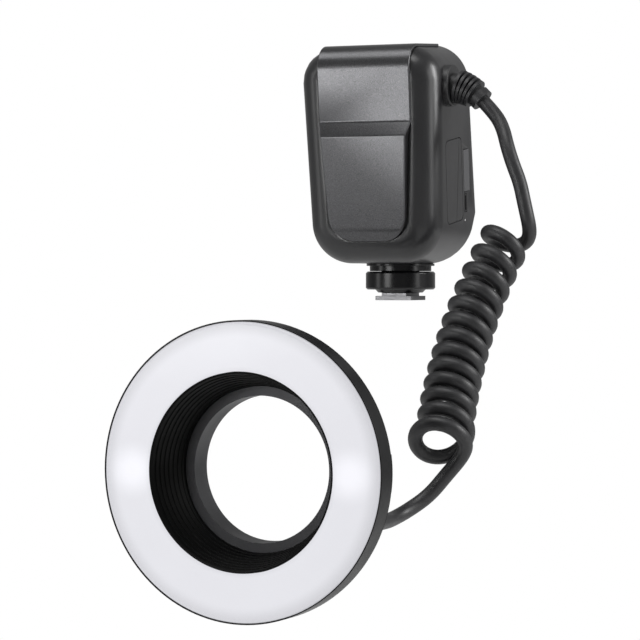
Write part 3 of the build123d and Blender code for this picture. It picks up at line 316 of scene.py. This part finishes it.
def add_bump(tree, shader, heights, strength, distance):
    """Bump from one or more height fields, one after the other, into the shader's normal."""
    last = None
    for height in heights:
        bump = tree.nodes.new("ShaderNodeBump")
        bump.inputs["Strength"].default_value = strength
        bump.inputs["Distance"].default_value = distance
        tree.links.new(height, bump.inputs["Height"])
        if last:
            tree.links.new(last, bump.inputs["Normal"])
        last = bump.outputs["Normal"]
    tree.links.new(last, shader.inputs["Normal"])


# Finishes


def moulded(name, colour, gloss, grain, depth, specular=0.5, handled=0.06):
    """Moulded plastic: fine grain of a size and depth, and a slow change of gloss."""
    finish, tree, shader, place = new_finish(name)
    fine = add_noise(tree, place, 1 / grain, detail=2.0)
    slow = add_noise(tree, place, 45.0)
    vary_gloss(tree, shader, slow, gloss - handled, gloss + handled)
    vary_colour(tree, shader, fine, shade(colour, 0.82), shade(colour, 1.22))
    add_bump(tree, shader, [fine], strength=0.25, distance=depth)
    shader.inputs["Specular IOR Level"].default_value = specular
    return finish


def metal(name, colour, gloss, brushed, stretch):
    """Metal with a brushed grain, which stretch makes finer along an axis."""
    finish, tree, shader, place = new_finish(name)
    mapping = tree.nodes.new("ShaderNodeMapping")
    mapping.inputs["Scale"].default_value = stretch
    tree.links.new(place, mapping.inputs["Vector"])
    grain = add_noise(tree, mapping.outputs["Vector"], brushed, detail=4.0, roughness=0.6)
    vary_gloss(tree, shader, grain, gloss - 0.08, gloss + 0.1)
    vary_colour(tree, shader, grain, shade(colour, 0.8), colour)
    shader.inputs["Metallic"].default_value = 1.0
    add_bump(tree, shader, [grain], strength=0.12, distance=0.00002)
    return finish


def strip_finish(colour):
    """Satin charcoal coat with fine metal flake: lighter flecks, soft highlights."""
    finish, tree, shader, place = new_finish("strip_charcoal")
    fleck = add_noise(tree, place, 3200.0, detail=2.0, roughness=0.7)
    slow = add_noise(tree, place, 30.0, detail=2.0)
    flecks = add_range(tree, fleck, 0.35, 0.72, 0, 1)
    vary_colour(tree, shader, flecks, shade(colour, 0.62), shade(colour, 1.5))
    vary_gloss(tree, shader, slow, 0.28, 0.33)
    shader.inputs["Metallic"].default_value = 0.85
    add_bump(tree, shader, [fleck], strength=0.12, distance=0.00002)
    return finish


def rubber_finish(colour):
    """Soft satin rubber with a fine matt grain and a little dust."""
    finish, tree, shader, place = new_finish("cord_rubber")
    grain = add_noise(tree, place, 2600.0, roughness=0.6)
    dust = add_noise(tree, place, 260.0, detail=4.0, roughness=0.6)
    vary_gloss(tree, shader, dust, 0.40, 0.54, high=0.75)
    dusty = add_range(tree, dust, 0.45, 0.8, 0, 1)
    vary_colour(tree, shader, dusty, colour, shade(colour, 1.7))
    add_bump(tree, shader, [grain], strength=0.2, distance=0.00003)
    shader.inputs["Specular IOR Level"].default_value = 0.45
    return finish


def diffuser_painted_glow_finish(colour):
    """Frosted cover with painted light, glowing though it is no lamp: even painted glow, painted shade at the
    grey rim and inside the inner step, and a painted glow over each focus lamp.
    """
    finish, tree, shader, place = new_finish("diffuser_frost_painted_glow")
    radius = add_distance(tree, place, HEAD_FRONT * MM, (1, 0, 1))
    # Painted shade: the glow dims to grey towards the outer rim
    rim = add_range(tree, radius, *RIM_SHADE_RADII, 1.0, RIM_PAINTED_SHADE, smooth=True)
    # Painted shade: the glow is a little dimmer inside the inner step
    step = add_range(tree, radius, *STEP_SHADE_RADII, STEP_PAINTED_SHADE, 1.0, smooth=True)
    cloud = add_range(tree, add_noise(tree, place, 28.0, detail=2.0), 0.3, 0.7, 0.985, 1.01)
    light = add_math(tree, "MULTIPLY", rim, step)
    light = add_math(tree, "MULTIPLY", light, cloud)
    # Painted glow: a soft bright spot over each focus lamp, added to the cover's light
    for side in (-1, 1):
        spot = HEAD_FRONT * MM + Vector((side * LAMP_CIRCLE, 0, 0))
        far = add_distance(tree, place, spot, (1, 1, 1))
        light = add_math(tree, "ADD", light, add_range(tree, far, *PAINTED_GLOW_RADII, PAINTED_GLOW_LIGHT, 0.0, smooth=True))
    # Painted light: the cover glows by this strength, though it is no lamp
    tree.links.new(light, shader.inputs["Emission Strength"])
    shader.inputs["Emission Color"].default_value = (*colour, 1)
    grain = add_noise(tree, place, 1800.0, detail=2.0)
    vary_colour(tree, shader, grain, (0.10, 0.10, 0.102), (0.12, 0.12, 0.122))
    add_bump(tree, shader, [grain], strength=0.1, distance=0.00002)
    shader.inputs["Roughness"].default_value = 0.35
    shader.inputs["Specular IOR Level"].default_value = 0.3
    return finish


def adapter_finish(colour):
    """Bead-blasted black anodising, with the thread's fine ridges on its rear collar."""
    finish, tree, shader, place = new_finish("adapter_anodised")
    blast = add_noise(tree, place, 2400.0, detail=2.0, roughness=0.7)
    slow = add_noise(tree, place, 60.0, detail=2.0)
    vary_colour(tree, shader, blast, colour, shade(colour, 1.6))
    vary_gloss(tree, shader, slow, 0.42, 0.52)
    parts = tree.nodes.new("ShaderNodeSeparateXYZ")
    tree.links.new(place, parts.inputs["Vector"])
    depth = parts.outputs["Y"]
    wave = add_math(tree, "SINE", add_math(tree, "MULTIPLY", depth, 2 * pi / THREAD_PITCH), 0)
    collar = add_range(tree, depth, COLLAR_START, COLLAR_START + COLLAR_BLEND, 0, 1)
    ridges = add_math(tree, "MULTIPLY", wave, collar)
    add_bump(tree, shader, [blast, ridges], strength=0.3, distance=0.00006)
    shader.inputs["Metallic"].default_value = 0.6
    return finish


def display_finish():
    """Liquid crystal panel under the window: grey-green glass with a fine dot grid."""
    finish, tree, shader, place = new_finish("display_panel")
    dots = tree.nodes.new("ShaderNodeTexChecker")
    dots.inputs["Scale"].default_value = 2600.0
    dots.inputs["Color1"].default_value = (0.20, 0.23, 0.20, 1)
    dots.inputs["Color2"].default_value = (0.16, 0.185, 0.16, 1)
    tree.links.new(place, dots.inputs["Vector"])
    tree.links.new(dots.outputs["Color"], shader.inputs["Base Color"])
    vary_gloss(tree, shader, add_noise(tree, place, 120.0), 0.25, 0.38)
    return finish


def window_finish():
    """Dark polished window with a few soft finger marks."""
    finish, tree, shader, place = new_finish("display_glass")
    marks = add_noise(tree, place, 160.0, detail=4.0, roughness=0.6)
    vary_gloss(tree, shader, marks, 0.05, 0.16, low=0.45, high=0.75)
    vary_colour(tree, shader, marks, (0.010, 0.012, 0.012), (0.014, 0.016, 0.016))
    shader.inputs["Coat Weight"].default_value = 0.6
    shader.inputs["Coat Roughness"].default_value = 0.04
    return finish


def board_finish():
    """Circuit board: green mask with faint traces."""
    finish, tree, shader, place = new_finish("board_green")
    traces = tree.nodes.new("ShaderNodeTexBrick")
    traces.inputs["Scale"].default_value = 220.0
    traces.inputs["Color1"].default_value = (0.010, 0.070, 0.030, 1)
    traces.inputs["Color2"].default_value = (0.014, 0.085, 0.038, 1)
    traces.inputs["Mortar"].default_value = (0.020, 0.110, 0.050, 1)
    tree.links.new(place, traces.inputs["Vector"])
    tree.links.new(traces.outputs["Color"], shader.inputs["Base Color"])
    vary_gloss(tree, shader, add_noise(tree, place, 300.0), 0.3, 0.45)
    return finish


def tube_glass_finish():
    """Clear glass of the flash tubes."""
    finish, tree, shader, place = new_finish("tube_glass")
    vary_gloss(tree, shader, add_noise(tree, place, 200.0), 0.02, 0.08)
    shader.inputs["Transmission Weight"].default_value = 1.0
    shader.inputs["IOR"].default_value = 1.47
    return finish


def lamp_finish():
    """Lit lamp behind the diffuser."""
    finish, tree, shader, place = new_finish("lamp_dome")
    warm = mix_of(tree, add_noise(tree, place, 500.0), (1.0, 0.97, 0.9), (1.0, 1.0, 1.0))
    tree.links.new(warm, shader.inputs["Emission Color"])
    shader.inputs["Emission Strength"].default_value = 1.5
    shader.inputs["Roughness"].default_value = 0.2
    return finish


def all_finishes(colours):
    """Every finish of the object, under the name that the pieces ask for.

    A moulded finish has its name, colour and gloss, then its grain's size and depth, and its shine.
    """
    return {
        "cheek": moulded("cheek_black", tuple(colours.cheek), 0.31, 0.0006, 0.00001, handled=0.03),
        "strip": strip_finish(tuple(colours.strip)),
        "barrel": moulded("barrel_black", (0.004, 0.004, 0.0045), 0.36, 0.0005, 0.00002, 0.14),
        "baffle": moulded("baffle_black", (0.002, 0.002, 0.002), 0.5, 0.0004, 0.00003, 0.08),
        "keys": moulded("key_grey", (0.026, 0.026, 0.028), 0.45, 0.0004, 0.00003),
        "dial": moulded("dial_black", (0.014, 0.014, 0.015), 0.35, 0.0005, 0.00002),
        "side": moulded("battery_case", (0.016, 0.016, 0.017), 0.38, 0.0006, 0.00003),
        "latch": moulded("latch_black", (0.006, 0.006, 0.0065), 0.34, 0.0005, 0.00002, 0.4),
        "mark": moulded("mark_white", (0.62, 0.62, 0.62), 0.5, 0.0003, 0.00001),
        "flap": moulded("flap_rubber", (0.060, 0.060, 0.063), 0.55, 0.0005, 0.00003, 0.4),
        "lock": moulded("lock_black", (0.004, 0.004, 0.0045), 0.24, 0.0006, 0.00001, 0.3),
        "sleeve": moulded("capacitor_sleeve", (0.02, 0.02, 0.05), 0.3, 0.0006, 0.00001),
        "rubber": rubber_finish(tuple(colours.rubber)),
        "diffuser": diffuser_painted_glow_finish(tuple(colours.diffuser)),
        "adapter": adapter_finish(tuple(colours.adapter)),
        "steel": metal("foot_steel", (0.15, 0.15, 0.155), 0.34, 900.0, (1, 12, 1)),
        "gold": metal("contact_gold", (0.85, 0.60, 0.25), 0.25, 900.0, (1, 1, 1)),
        "mirror": metal("reflector_mirror", (0.85, 0.85, 0.86), 0.12, 300.0, (1, 6, 1)),
        "panel": display_finish(),
        "glass": window_finish(),
        "board": board_finish(),
        "tube_glass": tube_glass_finish(),
        "lamp": lamp_finish(),
    }


# Shared steps of the operators


def finish_of(name):
    """A finish made by the first operator."""
    return bpy.data.materials[bpy.context.scene["ring_flash_finishes"][name]]


def paint(form, name):
    """Gives a mesh or a curve its finish."""
    form.materials.clear()
    form.materials.append(finish_of(name))


def new_piece(form, name):
    """A new piece at the origin, from a mesh or a curve."""
    piece = bpy.data.objects.new(name, form)
    bpy.context.scene.collection.objects.link(piece)
    return piece


def softened(node, body, finish, edge, segments=3, form=None):
    """A copy of a solid in its place, with smooth curves and rounded edges, that replaces it.

    form changes the copy's shape before its edges are rounded. With no edge to round, the triangles
    stay as they are and the shading follows the larger faces.
    """
    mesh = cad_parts[node].data.copy()
    mesh.name = f"{node}_form"
    shape = bmesh.new()
    shape.from_mesh(mesh)
    bmesh.ops.remove_doubles(shape, verts=shape.verts, dist=WELD_DISTANCE)
    if edge:
        bmesh.ops.dissolve_limit(
            shape, angle_limit=FLAT_ANGLE, verts=shape.verts, edges=shape.edges, use_dissolve_boundaries=False
        )
    if form:
        form(shape)
    for face in shape.faces:
        face.smooth = True
    shape.to_mesh(mesh)
    shape.free()
    mesh.set_sharp_from_angle(angle=CREASE)
    paint(mesh, finish)
    piece = new_piece(mesh, f"{node}_form")
    if edge:
        bevel = piece.modifiers.new("rounded_edges", "BEVEL")
        bevel.width = edge
        bevel.segments = segments
        bevel.limit_method = "ANGLE"
        bevel.angle_limit = CREASE
        bevel.harden_normals = True
    else:
        even = piece.modifiers.new("even_shading", "WEIGHTED_NORMAL")
        even.keep_sharp = True
        even.weight = 100
    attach(piece, body)
    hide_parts(node)


def faces_towards(shape, way):
    """The faces that look a certain way."""
    return [face for face in shape.faces if face.normal.dot(Vector(way)) > FACING]


def sink_panel(shape, way, rim):
    """Sinks the widest face that looks that way into a rim of the same width and depth."""
    panel = max(faces_towards(shape, way), key=lambda face: face.calc_area())
    bmesh.ops.inset_region(shape, faces=[panel], thickness=rim, use_even_offset=True)
    bmesh.ops.inset_region(shape, faces=[panel], thickness=rim / 2, depth=-rim, use_even_offset=True)


def cut_seam(shape, way, place, width):
    """Cuts a fine groove, as deep as wide, across the faces that look that way, at a place on Y."""
    for side in (-1, 1):
        around = [*shape.verts, *shape.edges, *shape.faces]
        at = (0, place + side * width / 2, 0)
        bmesh.ops.bisect_plane(shape, geom=around, dist=CUT_TOLERANCE, plane_co=at, plane_no=(0, 1, 0))
    groove = [
        face for face in faces_towards(shape, way) if abs(face.calc_center_median().y - place) < width / 2
    ]
    bmesh.ops.inset_region(shape, faces=groove, thickness=width / 10, depth=-width, use_even_offset=True)


def mesh_from(shape, name):
    """Turns a bmesh into a mesh with flat faces."""
    mesh = bpy.data.meshes.new(name)
    for face in shape.faces:
        face.smooth = False
    shape.to_mesh(mesh)
    shape.free()
    return mesh


# Cord route, as in the solids: the points of the stretches, and the formula of the curls

BOOT_END = radians(45.0)
BOOT_TIP = Vector((50.1615, -25.0, 91.1458))
BOOT_WAY = Vector((cos(BOOT_END), 0, -sin(BOOT_END)))
UPPER_ROUTE = [(61.2, -28.1, 77.7), (64.4, -32.2, 70.2), (67.7, -33.8, 61.8)]
LOWER_ROUTE = [(43.7, -101.8, -90.1), (40.6, -113.1, -93.2)]
CURL_TURNS = 13.3
CURL_START_SHARE = -0.11
CURL_RADII = (8.6, 9.7)
CURL_PITCHES = (11.24, 8.1, 8.01)
CURL_LEAD = 5.5
CURL_LEAD_SHARE = 0.12
CURL_LEAN = radians(34.4)
CURL_SWING = radians(-4.51)
CURL_BOW = radians(24.57)
CURL_TOP = Vector((68.07, -28.5, 37.29))
GLAND_ANGLE = radians(28.0)
GLAND_CIRCLE = 49.0
GLAND_LENGTH = 13.0
GLAND_TIP = HEAD_FRONT + Vector(
    (GLAND_CIRCLE * cos(GLAND_ANGLE), HEAD_DEPTH + GLAND_LENGTH, -GLAND_CIRCLE * sin(GLAND_ANGLE))
)

# The last curls, here alone: they open out, hang lower and tilt, and end as they do in the solids
LAST_CURL_TURNS = 1.5
LAST_CURL_SPREAD = 2.2
LAST_CURL_DROP = 4.5
LAST_CURL_TILT = radians(22.0)

# Straight runs at the boots and the curls' ends, as shares of the cord's diameter
TIP_RUN_SHARE = 1.39
DROP_RUN_SHARE = 1.3
FIRST_DROP_SHARE = 1.79
GLAND_RUN_SHARE = 2.12


def curl_drop(turn):
    """Distance along the coil's axis after that many turns, in millimetres."""
    top, middle, bottom = CURL_PITCHES
    bend = 2 * (top + bottom - 2 * middle) / CURL_TURNS**2
    slope = (4 * middle - 3 * top - bottom) / CURL_TURNS
    opening = 1 - exp(-turn / CURL_LEAD_SHARE)
    closing = exp((turn - CURL_TURNS) / CURL_LEAD_SHARE)
    return top * turn + slope * turn**2 / 2 + bend * turn**3 / 3 + CURL_LEAD * (opening + closing)


def curl_point(turn, spread=1.0):
    """Point on the coil's centre line, in millimetres."""
    way = Vector((sin(CURL_SWING), -sin(CURL_LEAN) * cos(CURL_SWING), -cos(CURL_LEAN) * cos(CURL_SWING)))
    side = (Vector((1, 0, 0)) - way * way.x).normalized()
    back = side.cross(way)
    whole = curl_drop(CURL_TURNS)
    bow = CURL_BOW * (curl_drop(turn) / whole - 0.5)
    along = way * (sin(bow) + sin(CURL_BOW / 2)) + side * (cos(CURL_BOW / 2) - cos(bow))
    outward = side * cos(bow) - way * sin(bow)
    share = min(max((turn - CURL_TURNS) / LAST_CURL_TURNS + 1, 0), 1)
    last = sin(pi * share) ** 2
    radius = CURL_RADII[0] + (CURL_RADII[1] - CURL_RADII[0]) * turn / CURL_TURNS + LAST_CURL_SPREAD * last
    around = 2 * pi * (turn + CURL_START_SHARE)
    middle = CURL_TOP + along * whole / CURL_BOW + way * LAST_CURL_DROP * last
    back = back * cos(LAST_CURL_TILT * last) + way * sin(LAST_CURL_TILT * last)
    return middle + (outward * cos(around) + back * sin(around)) * radius * spread


def curl_tangent(turn):
    """Direction of the coil's centre line."""
    step = CURL_LEAD_SHARE / 100
    return (curl_point(turn + step) - curl_point(turn - step)).normalized()


def cord_route(points_per_curl, diameter):
    """Control points of the whole cord, from the controller's boot to the ring head's, in metres."""
    width = diameter / MM
    start_way = curl_tangent(0)
    end_way = curl_tangent(CURL_TURNS)
    start = curl_point(0) - start_way * width
    end = curl_point(CURL_TURNS) + end_way * width
    points = [BOOT_TIP, BOOT_TIP + BOOT_WAY * TIP_RUN_SHARE * width]
    points += [Vector(point) for point in UPPER_ROUTE]
    points += [start - start_way * DROP_RUN_SHARE * width, start]
    spread = 1 / cos(pi / points_per_curl)
    count = round(points_per_curl * CURL_TURNS)
    points += [curl_point(CURL_TURNS * i / count, spread) for i in range(count + 1)]
    points += [end, end + end_way * FIRST_DROP_SHARE * width]
    points += [Vector(point) for point in LOWER_ROUTE]
    points += [GLAND_TIP + Vector((0, GLAND_RUN_SHARE * width, 0)), GLAND_TIP]
    return [point * MM for point in points]


# Operators, one for each piece or group of like pieces


class RINGFLASH_OT_finishes(bpy.types.Operator):
    """Makes every finish of the object"""

    bl_idname = "ring_flash.finishes"
    bl_label = "Finishes"

    def execute(self, context):
        made = all_finishes(context.scene.ring_flash_colours)
        context.scene["ring_flash_finishes"] = {key: finish.name for key, finish in made.items()}
        return {"FINISHED"}


class RINGFLASH_OT_stage(bpy.types.Operator):
    """Sets up the camera, the surroundings, the floor and the lamps"""

    bl_idname = "ring_flash.stage"
    bl_label = "Stage"

    def execute(self, context):
        scene = context.scene
        scene.view_settings.view_transform = "Standard"
        self.add_camera(scene)
        self.add_world(scene)
        self.add_floor(scene)
        for lamp in LAMPS:
            self.add_lamp(scene, *lamp)
        return {"FINISHED"}

    def add_camera(self, scene):
        """The camera that sees the object as the photo does."""
        lens = bpy.data.cameras.new("camera")
        lens.sensor_width = CAMERA_SENSOR
        lens.lens = CAMERA_LENS
        camera = bpy.data.objects.new("camera", lens)
        camera.location = CAMERA_PLACE
        camera.rotation_euler = (radians(90 - CAMERA_ELEVATION), 0, radians(CAMERA_AZIMUTH))
        scene.collection.objects.link(camera)
        scene.camera = camera

    def add_lamp(self, scene, name, place, size, power):
        """A soft box that faces the object."""
        light = bpy.data.lights.new(name, "AREA")
        light.shape = "RECTANGLE"
        light.size, light.size_y = size
        light.energy = power
        lamp = bpy.data.objects.new(name, light)
        lamp.location = place
        lamp.rotation_euler = (LAMP_AIM - Vector(place)).to_track_quat("-Z", "Y").to_euler()
        lamp.visible_camera = False
        scene.collection.objects.link(lamp)

    def add_world(self, scene):
        """Pale surroundings: white where they are seen, plain grey where they light."""
        world = bpy.data.worlds.new("surroundings")
        tree = empty_tree(world)
        output = tree.nodes.new("ShaderNodeOutputWorld")
        path = tree.nodes.new("ShaderNodeLightPath")
        place = tree.nodes.new("ShaderNodeTexCoord")
        parts = tree.nodes.new("ShaderNodeSeparateXYZ")
        tree.links.new(place.outputs["Generated"], parts.inputs["Vector"])
        depth = parts.outputs["Y"]
        behind = add_range(tree, depth, BACKDROP_START, 1.0, ROOM_GLOSS, BACKDROP_GLOSS, smooth=True)
        mirrored = add_math(tree, "MULTIPLY", path.outputs["Is Glossy Ray"], behind)
        matt = add_math(tree, "SUBTRACT", 1.0, path.outputs["Is Glossy Ray"])
        around = add_math(tree, "ADD", mirrored, add_math(tree, "MULTIPLY", matt, ROOM_LIGHT))
        strength = add_math(tree, "MAXIMUM", add_seen(tree, path), around)
        background = tree.nodes.new("ShaderNodeBackground")
        background.inputs["Color"].default_value = WHITE
        tree.links.new(strength, background.inputs["Strength"])
        tree.links.new(background.outputs["Background"], output.inputs["Surface"])
        scene.world = world

    def add_floor(self, scene):
        """A plain pale floor under the object, which glows evenly where the camera sees it."""
        low = solid_box[0][2] - scene.ring_flash_sizes.floor_drop
        shape = bmesh.new()
        bmesh.ops.create_grid(shape, x_segments=1, y_segments=1, size=FLOOR_REACH)
        bmesh.ops.translate(shape, vec=(0, 0, low), verts=shape.verts)
        mesh = mesh_from(shape, "floor")
        material = bpy.data.materials.new("floor_white")
        tree = empty_tree(material)
        output = tree.nodes.new("ShaderNodeOutputMaterial")
        diffuse = tree.nodes.new("ShaderNodeBsdfDiffuse")
        diffuse.inputs["Color"].default_value = FLOOR_COLOUR
        glow = tree.nodes.new("ShaderNodeEmission")
        glow.inputs["Color"].default_value = WHITE
        mix = tree.nodes.new("ShaderNodeMixShader")
        path = tree.nodes.new("ShaderNodeLightPath")
        place = tree.nodes.new("ShaderNodeTexCoord")
        far = add_distance(tree, place.outputs["Object"], (0, 0, low), (1, 1, 0))
        (near_edge, near_glow), (far_edge, far_glow) = FLOOR_NEAR, FLOOR_FAR
        light = add_range(tree, far, near_edge, far_edge, near_glow, far_glow, smooth=True)
        tree.links.new(add_math(tree, "MULTIPLY", add_seen(tree, path), light), mix.inputs["Fac"])
        tree.links.new(diffuse.outputs["BSDF"], mix.inputs[1])
        tree.links.new(glow.outputs["Emission"], mix.inputs[2])
        tree.links.new(mix.outputs["Shader"], output.inputs["Surface"])
        mesh.materials.append(material)
        floor = new_piece(mesh, "floor")


class RINGFLASH_OT_cord(bpy.types.Operator):
    """Lays the cord from the controller's boot through its curls to the ring head"""

    bl_idname = "ring_flash.cord"
    bl_label = "Cord"

    def execute(self, context):
        sizes = context.scene.ring_flash_sizes
        points = cord_route(sizes.curl_points, sizes.cord_diameter)
        curve = bpy.data.curves.new("cord", "CURVE")
        curve.dimensions = "3D"
        spline = curve.splines.new("NURBS")
        spline.points.add(len(points) - 1)
        for control, point in zip(spline.points, points):
            control.co = (*point, 1)
        spline.order_u = 3
        spline.use_endpoint_u = True
        spline.resolution_u = 4
        curve.bevel_depth = sizes.cord_diameter / 2
        curve.bevel_resolution = 8
        curve.use_fill_caps = True
        paint(curve, "rubber")
        cord = new_piece(curve, "cord")
        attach(cord, "controller")
        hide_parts("cord_upper", "cord_coil", "cord_lower")
        return {"FINISHED"}


class RINGFLASH_OT_housing(bpy.types.Operator):
    """Dresses the controller's shells and the strip over its front"""

    bl_idname = "ring_flash.housing"
    bl_label = "Controller Housing"

    def execute(self, context):
        sizes = context.scene.ring_flash_sizes
        edge = sizes.housing_edge
        softened("front_shell", "controller", "cheek", edge)
        softened("rear_shell", "controller", "cheek", 0)
        softened("front_strip", "controller", "strip", edge * sizes.strip_edge_share, segments=4)
        return {"FINISHED"}


class RINGFLASH_OT_controls(bpy.types.Operator):
    """Dresses the display, the keys, the dial and the switch"""

    bl_idname = "ring_flash.controls"
    bl_label = "Display and Keys"

    def execute(self, context):
        edge = context.scene.ring_flash_sizes.key_edge
        softened("display_window", "controller", "glass", edge)
        keys = ["soft_key_1", "soft_key_2", "soft_key_3", "soft_key_4"]
        keys += ["mode_button", "menu_button", "test_button", "set_button", "power_switch"]
        for key in keys:
            softened(key, key, "keys", edge)
        softened("select_dial", "select_dial", "dial", edge)
        return {"FINISHED"}


class RINGFLASH_OT_side(bpy.types.Operator):
    """Dresses the battery, its latch and the port's flap"""

    bl_idname = "ring_flash.side"
    bl_label = "Battery Side"

    def execute(self, context):
        sizes = context.scene.ring_flash_sizes
        edge = sizes.key_edge
        front, back = (corner[1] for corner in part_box("battery"))
        place = front + (back - front) * SEAM_SHARE
        softened(
            "battery", "battery", "side", edge,
            form=lambda shape: cut_seam(shape, RIGHT, place, sizes.seam_width),
        )
        softened(
            "battery_latch", "battery_latch", "latch", edge,
            form=lambda shape: sink_panel(shape, RIGHT, sizes.latch_rim),
        )
        softened("port_door", "port_door", "flap", edge)
        self.add_mark(sizes)
        return {"FINISHED"}

    def add_mark(self, sizes):
        """A small white index mark on the shell under the battery's latch."""
        low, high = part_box("battery_latch")
        start = Vector((high[0] + sizes.seam_width, (low[1] + high[1]) / 2, low[2] - sizes.mark_drop))
        shell = bmesh.new()
        shell.from_mesh(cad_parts["rear_shell"].data)
        place, normal, _, _ = BVHTree.FromBMesh(shell).ray_cast(start, -Vector(RIGHT))
        shell.free()
        if place is None:
            raise RuntimeError("the mark has no shell under it")
        radius = sizes.mark_width / 2
        shape = bmesh.new()
        bmesh.ops.create_cone(
            shape, cap_ends=True, segments=32, radius1=radius, radius2=radius * MARK_TAPER,
            depth=sizes.mark_width / 5,
        )
        turn = normal.to_track_quat("Z", "Y").to_matrix().to_4x4()
        bmesh.ops.transform(shape, matrix=Matrix.Translation(place) @ turn, verts=shape.verts)
        mesh = mesh_from(shape, "index_mark")
        paint(mesh, "mark")
        mark = new_piece(mesh, "index_mark")
        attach(mark, "controller")


class RINGFLASH_OT_foot(bpy.types.Operator):
    """Dresses the shoe foot and its lock ring"""

    bl_idname = "ring_flash.foot"
    bl_label = "Shoe Foot"

    def execute(self, context):
        edge = context.scene.ring_flash_sizes.key_edge
        softened("foot_base", "controller", "lock", edge)
        softened("foot_plate", "controller", "steel", edge)
        softened("lock_ring", "lock_ring", "lock", edge)
        softened("lock_pin", "lock_pin", "steel", edge)
        return {"FINISHED"}


class RINGFLASH_OT_boots(bpy.types.Operator):
    """Dresses the cord's ribbed boots"""

    bl_idname = "ring_flash.boots"
    bl_label = "Cord Boots"

    def execute(self, context):
        edge = context.scene.ring_flash_sizes.housing_edge
        for boot in ("cord_boot", "head_boot"):
            softened(boot, "controller", "rubber", edge)
        return {"FINISHED"}


class RINGFLASH_OT_head(bpy.types.Operator):
    """Dresses the ring head"""

    bl_idname = "ring_flash.head"
    bl_label = "Ring Head"

    def execute(self, context):
        sizes = context.scene.ring_flash_sizes
        edge = sizes.key_edge
        softened("ring_barrel", "controller", "barrel", edge)
        softened("rear_cover", "controller", "barrel", edge)
        softened("inner_tube", "controller", "baffle", edge * sizes.rib_edge_share)
        softened("diffuser", "controller", "diffuser", edge)
        softened("adapter_ring", "adapter_ring", "adapter", edge)
        for side in ("left", "right"):
            softened(f"release_button_{side}", f"release_{side}", "keys", edge)
        return {"FINISHED"}


class RINGFLASH_OT_inside(bpy.types.Operator):
    """Gives the pieces inside their finishes"""

    bl_idname = "ring_flash.inside"
    bl_label = "Inner Pieces"

    def execute(self, context):
        finishes = {
            "panel": ["display_module"],
            "board": ["key_board", "driver_board", "ring_board"],
            "side": ["battery_tray"],
            "gold": ["battery_contacts", "foot_contacts"],
            "steel": ["port_socket", "foot_screws", "cover_screws", "latch_yoke_left", "latch_yoke_right"],
            "sleeve": ["main_capacitor"],
            "mirror": ["reflector"],
            "tube_glass": ["flash_tube_left", "flash_tube_right"],
            "rubber": ["tube_caps_left", "tube_caps_right"],
            "lamp": ["focus_lamp_left", "focus_lamp_right"],
        }
        for name, nodes in finishes.items():
            for node in nodes:
                paint(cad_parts[node].data, name)
        return {"FINISHED"}


class RINGFLASH_PT_panel(bpy.types.Panel):
    """Lists the steps that dress the ring flash"""

    bl_idname = "RINGFLASH_PT_panel"
    bl_label = "Ring Flash"
    bl_space_type = "VIEW_3D"
    bl_region_type = "UI"
    bl_category = "Ring Flash"

    def draw(self, context):
        layout = self.layout
        for step in STEPS:
            layout.operator(step.bl_idname)
        for group in (context.scene.ring_flash_sizes, context.scene.ring_flash_colours):
            for name in group.__annotations__:
                layout.prop(group, name)


STEPS = (
    RINGFLASH_OT_finishes,
    RINGFLASH_OT_stage,
    RINGFLASH_OT_cord,
    RINGFLASH_OT_housing,
    RINGFLASH_OT_controls,
    RINGFLASH_OT_side,
    RINGFLASH_OT_foot,
    RINGFLASH_OT_boots,
    RINGFLASH_OT_head,
    RINGFLASH_OT_inside,
)
CLASSES = (RingFlashSizes, RingFlashColours, *STEPS, RINGFLASH_PT_panel)


def register():
    """Registers the classes and their settings."""
    for item in CLASSES:
        bpy.utils.register_class(item)
    bpy.types.Scene.ring_flash_sizes = PointerProperty(type=RingFlashSizes)
    bpy.types.Scene.ring_flash_colours = PointerProperty(type=RingFlashColours)


def unregister():
    """Takes the classes and their settings out again."""
    del bpy.types.Scene.ring_flash_colours
    del bpy.types.Scene.ring_flash_sizes
    for item in reversed(CLASSES):
        bpy.utils.unregister_class(item)


def main():
    """Runs every step in order."""
    register()
    for step in STEPS:
        group, name = step.bl_idname.split(".")
        getattr(getattr(bpy.ops, group), name)()


if __name__ == "__main__":
    main()
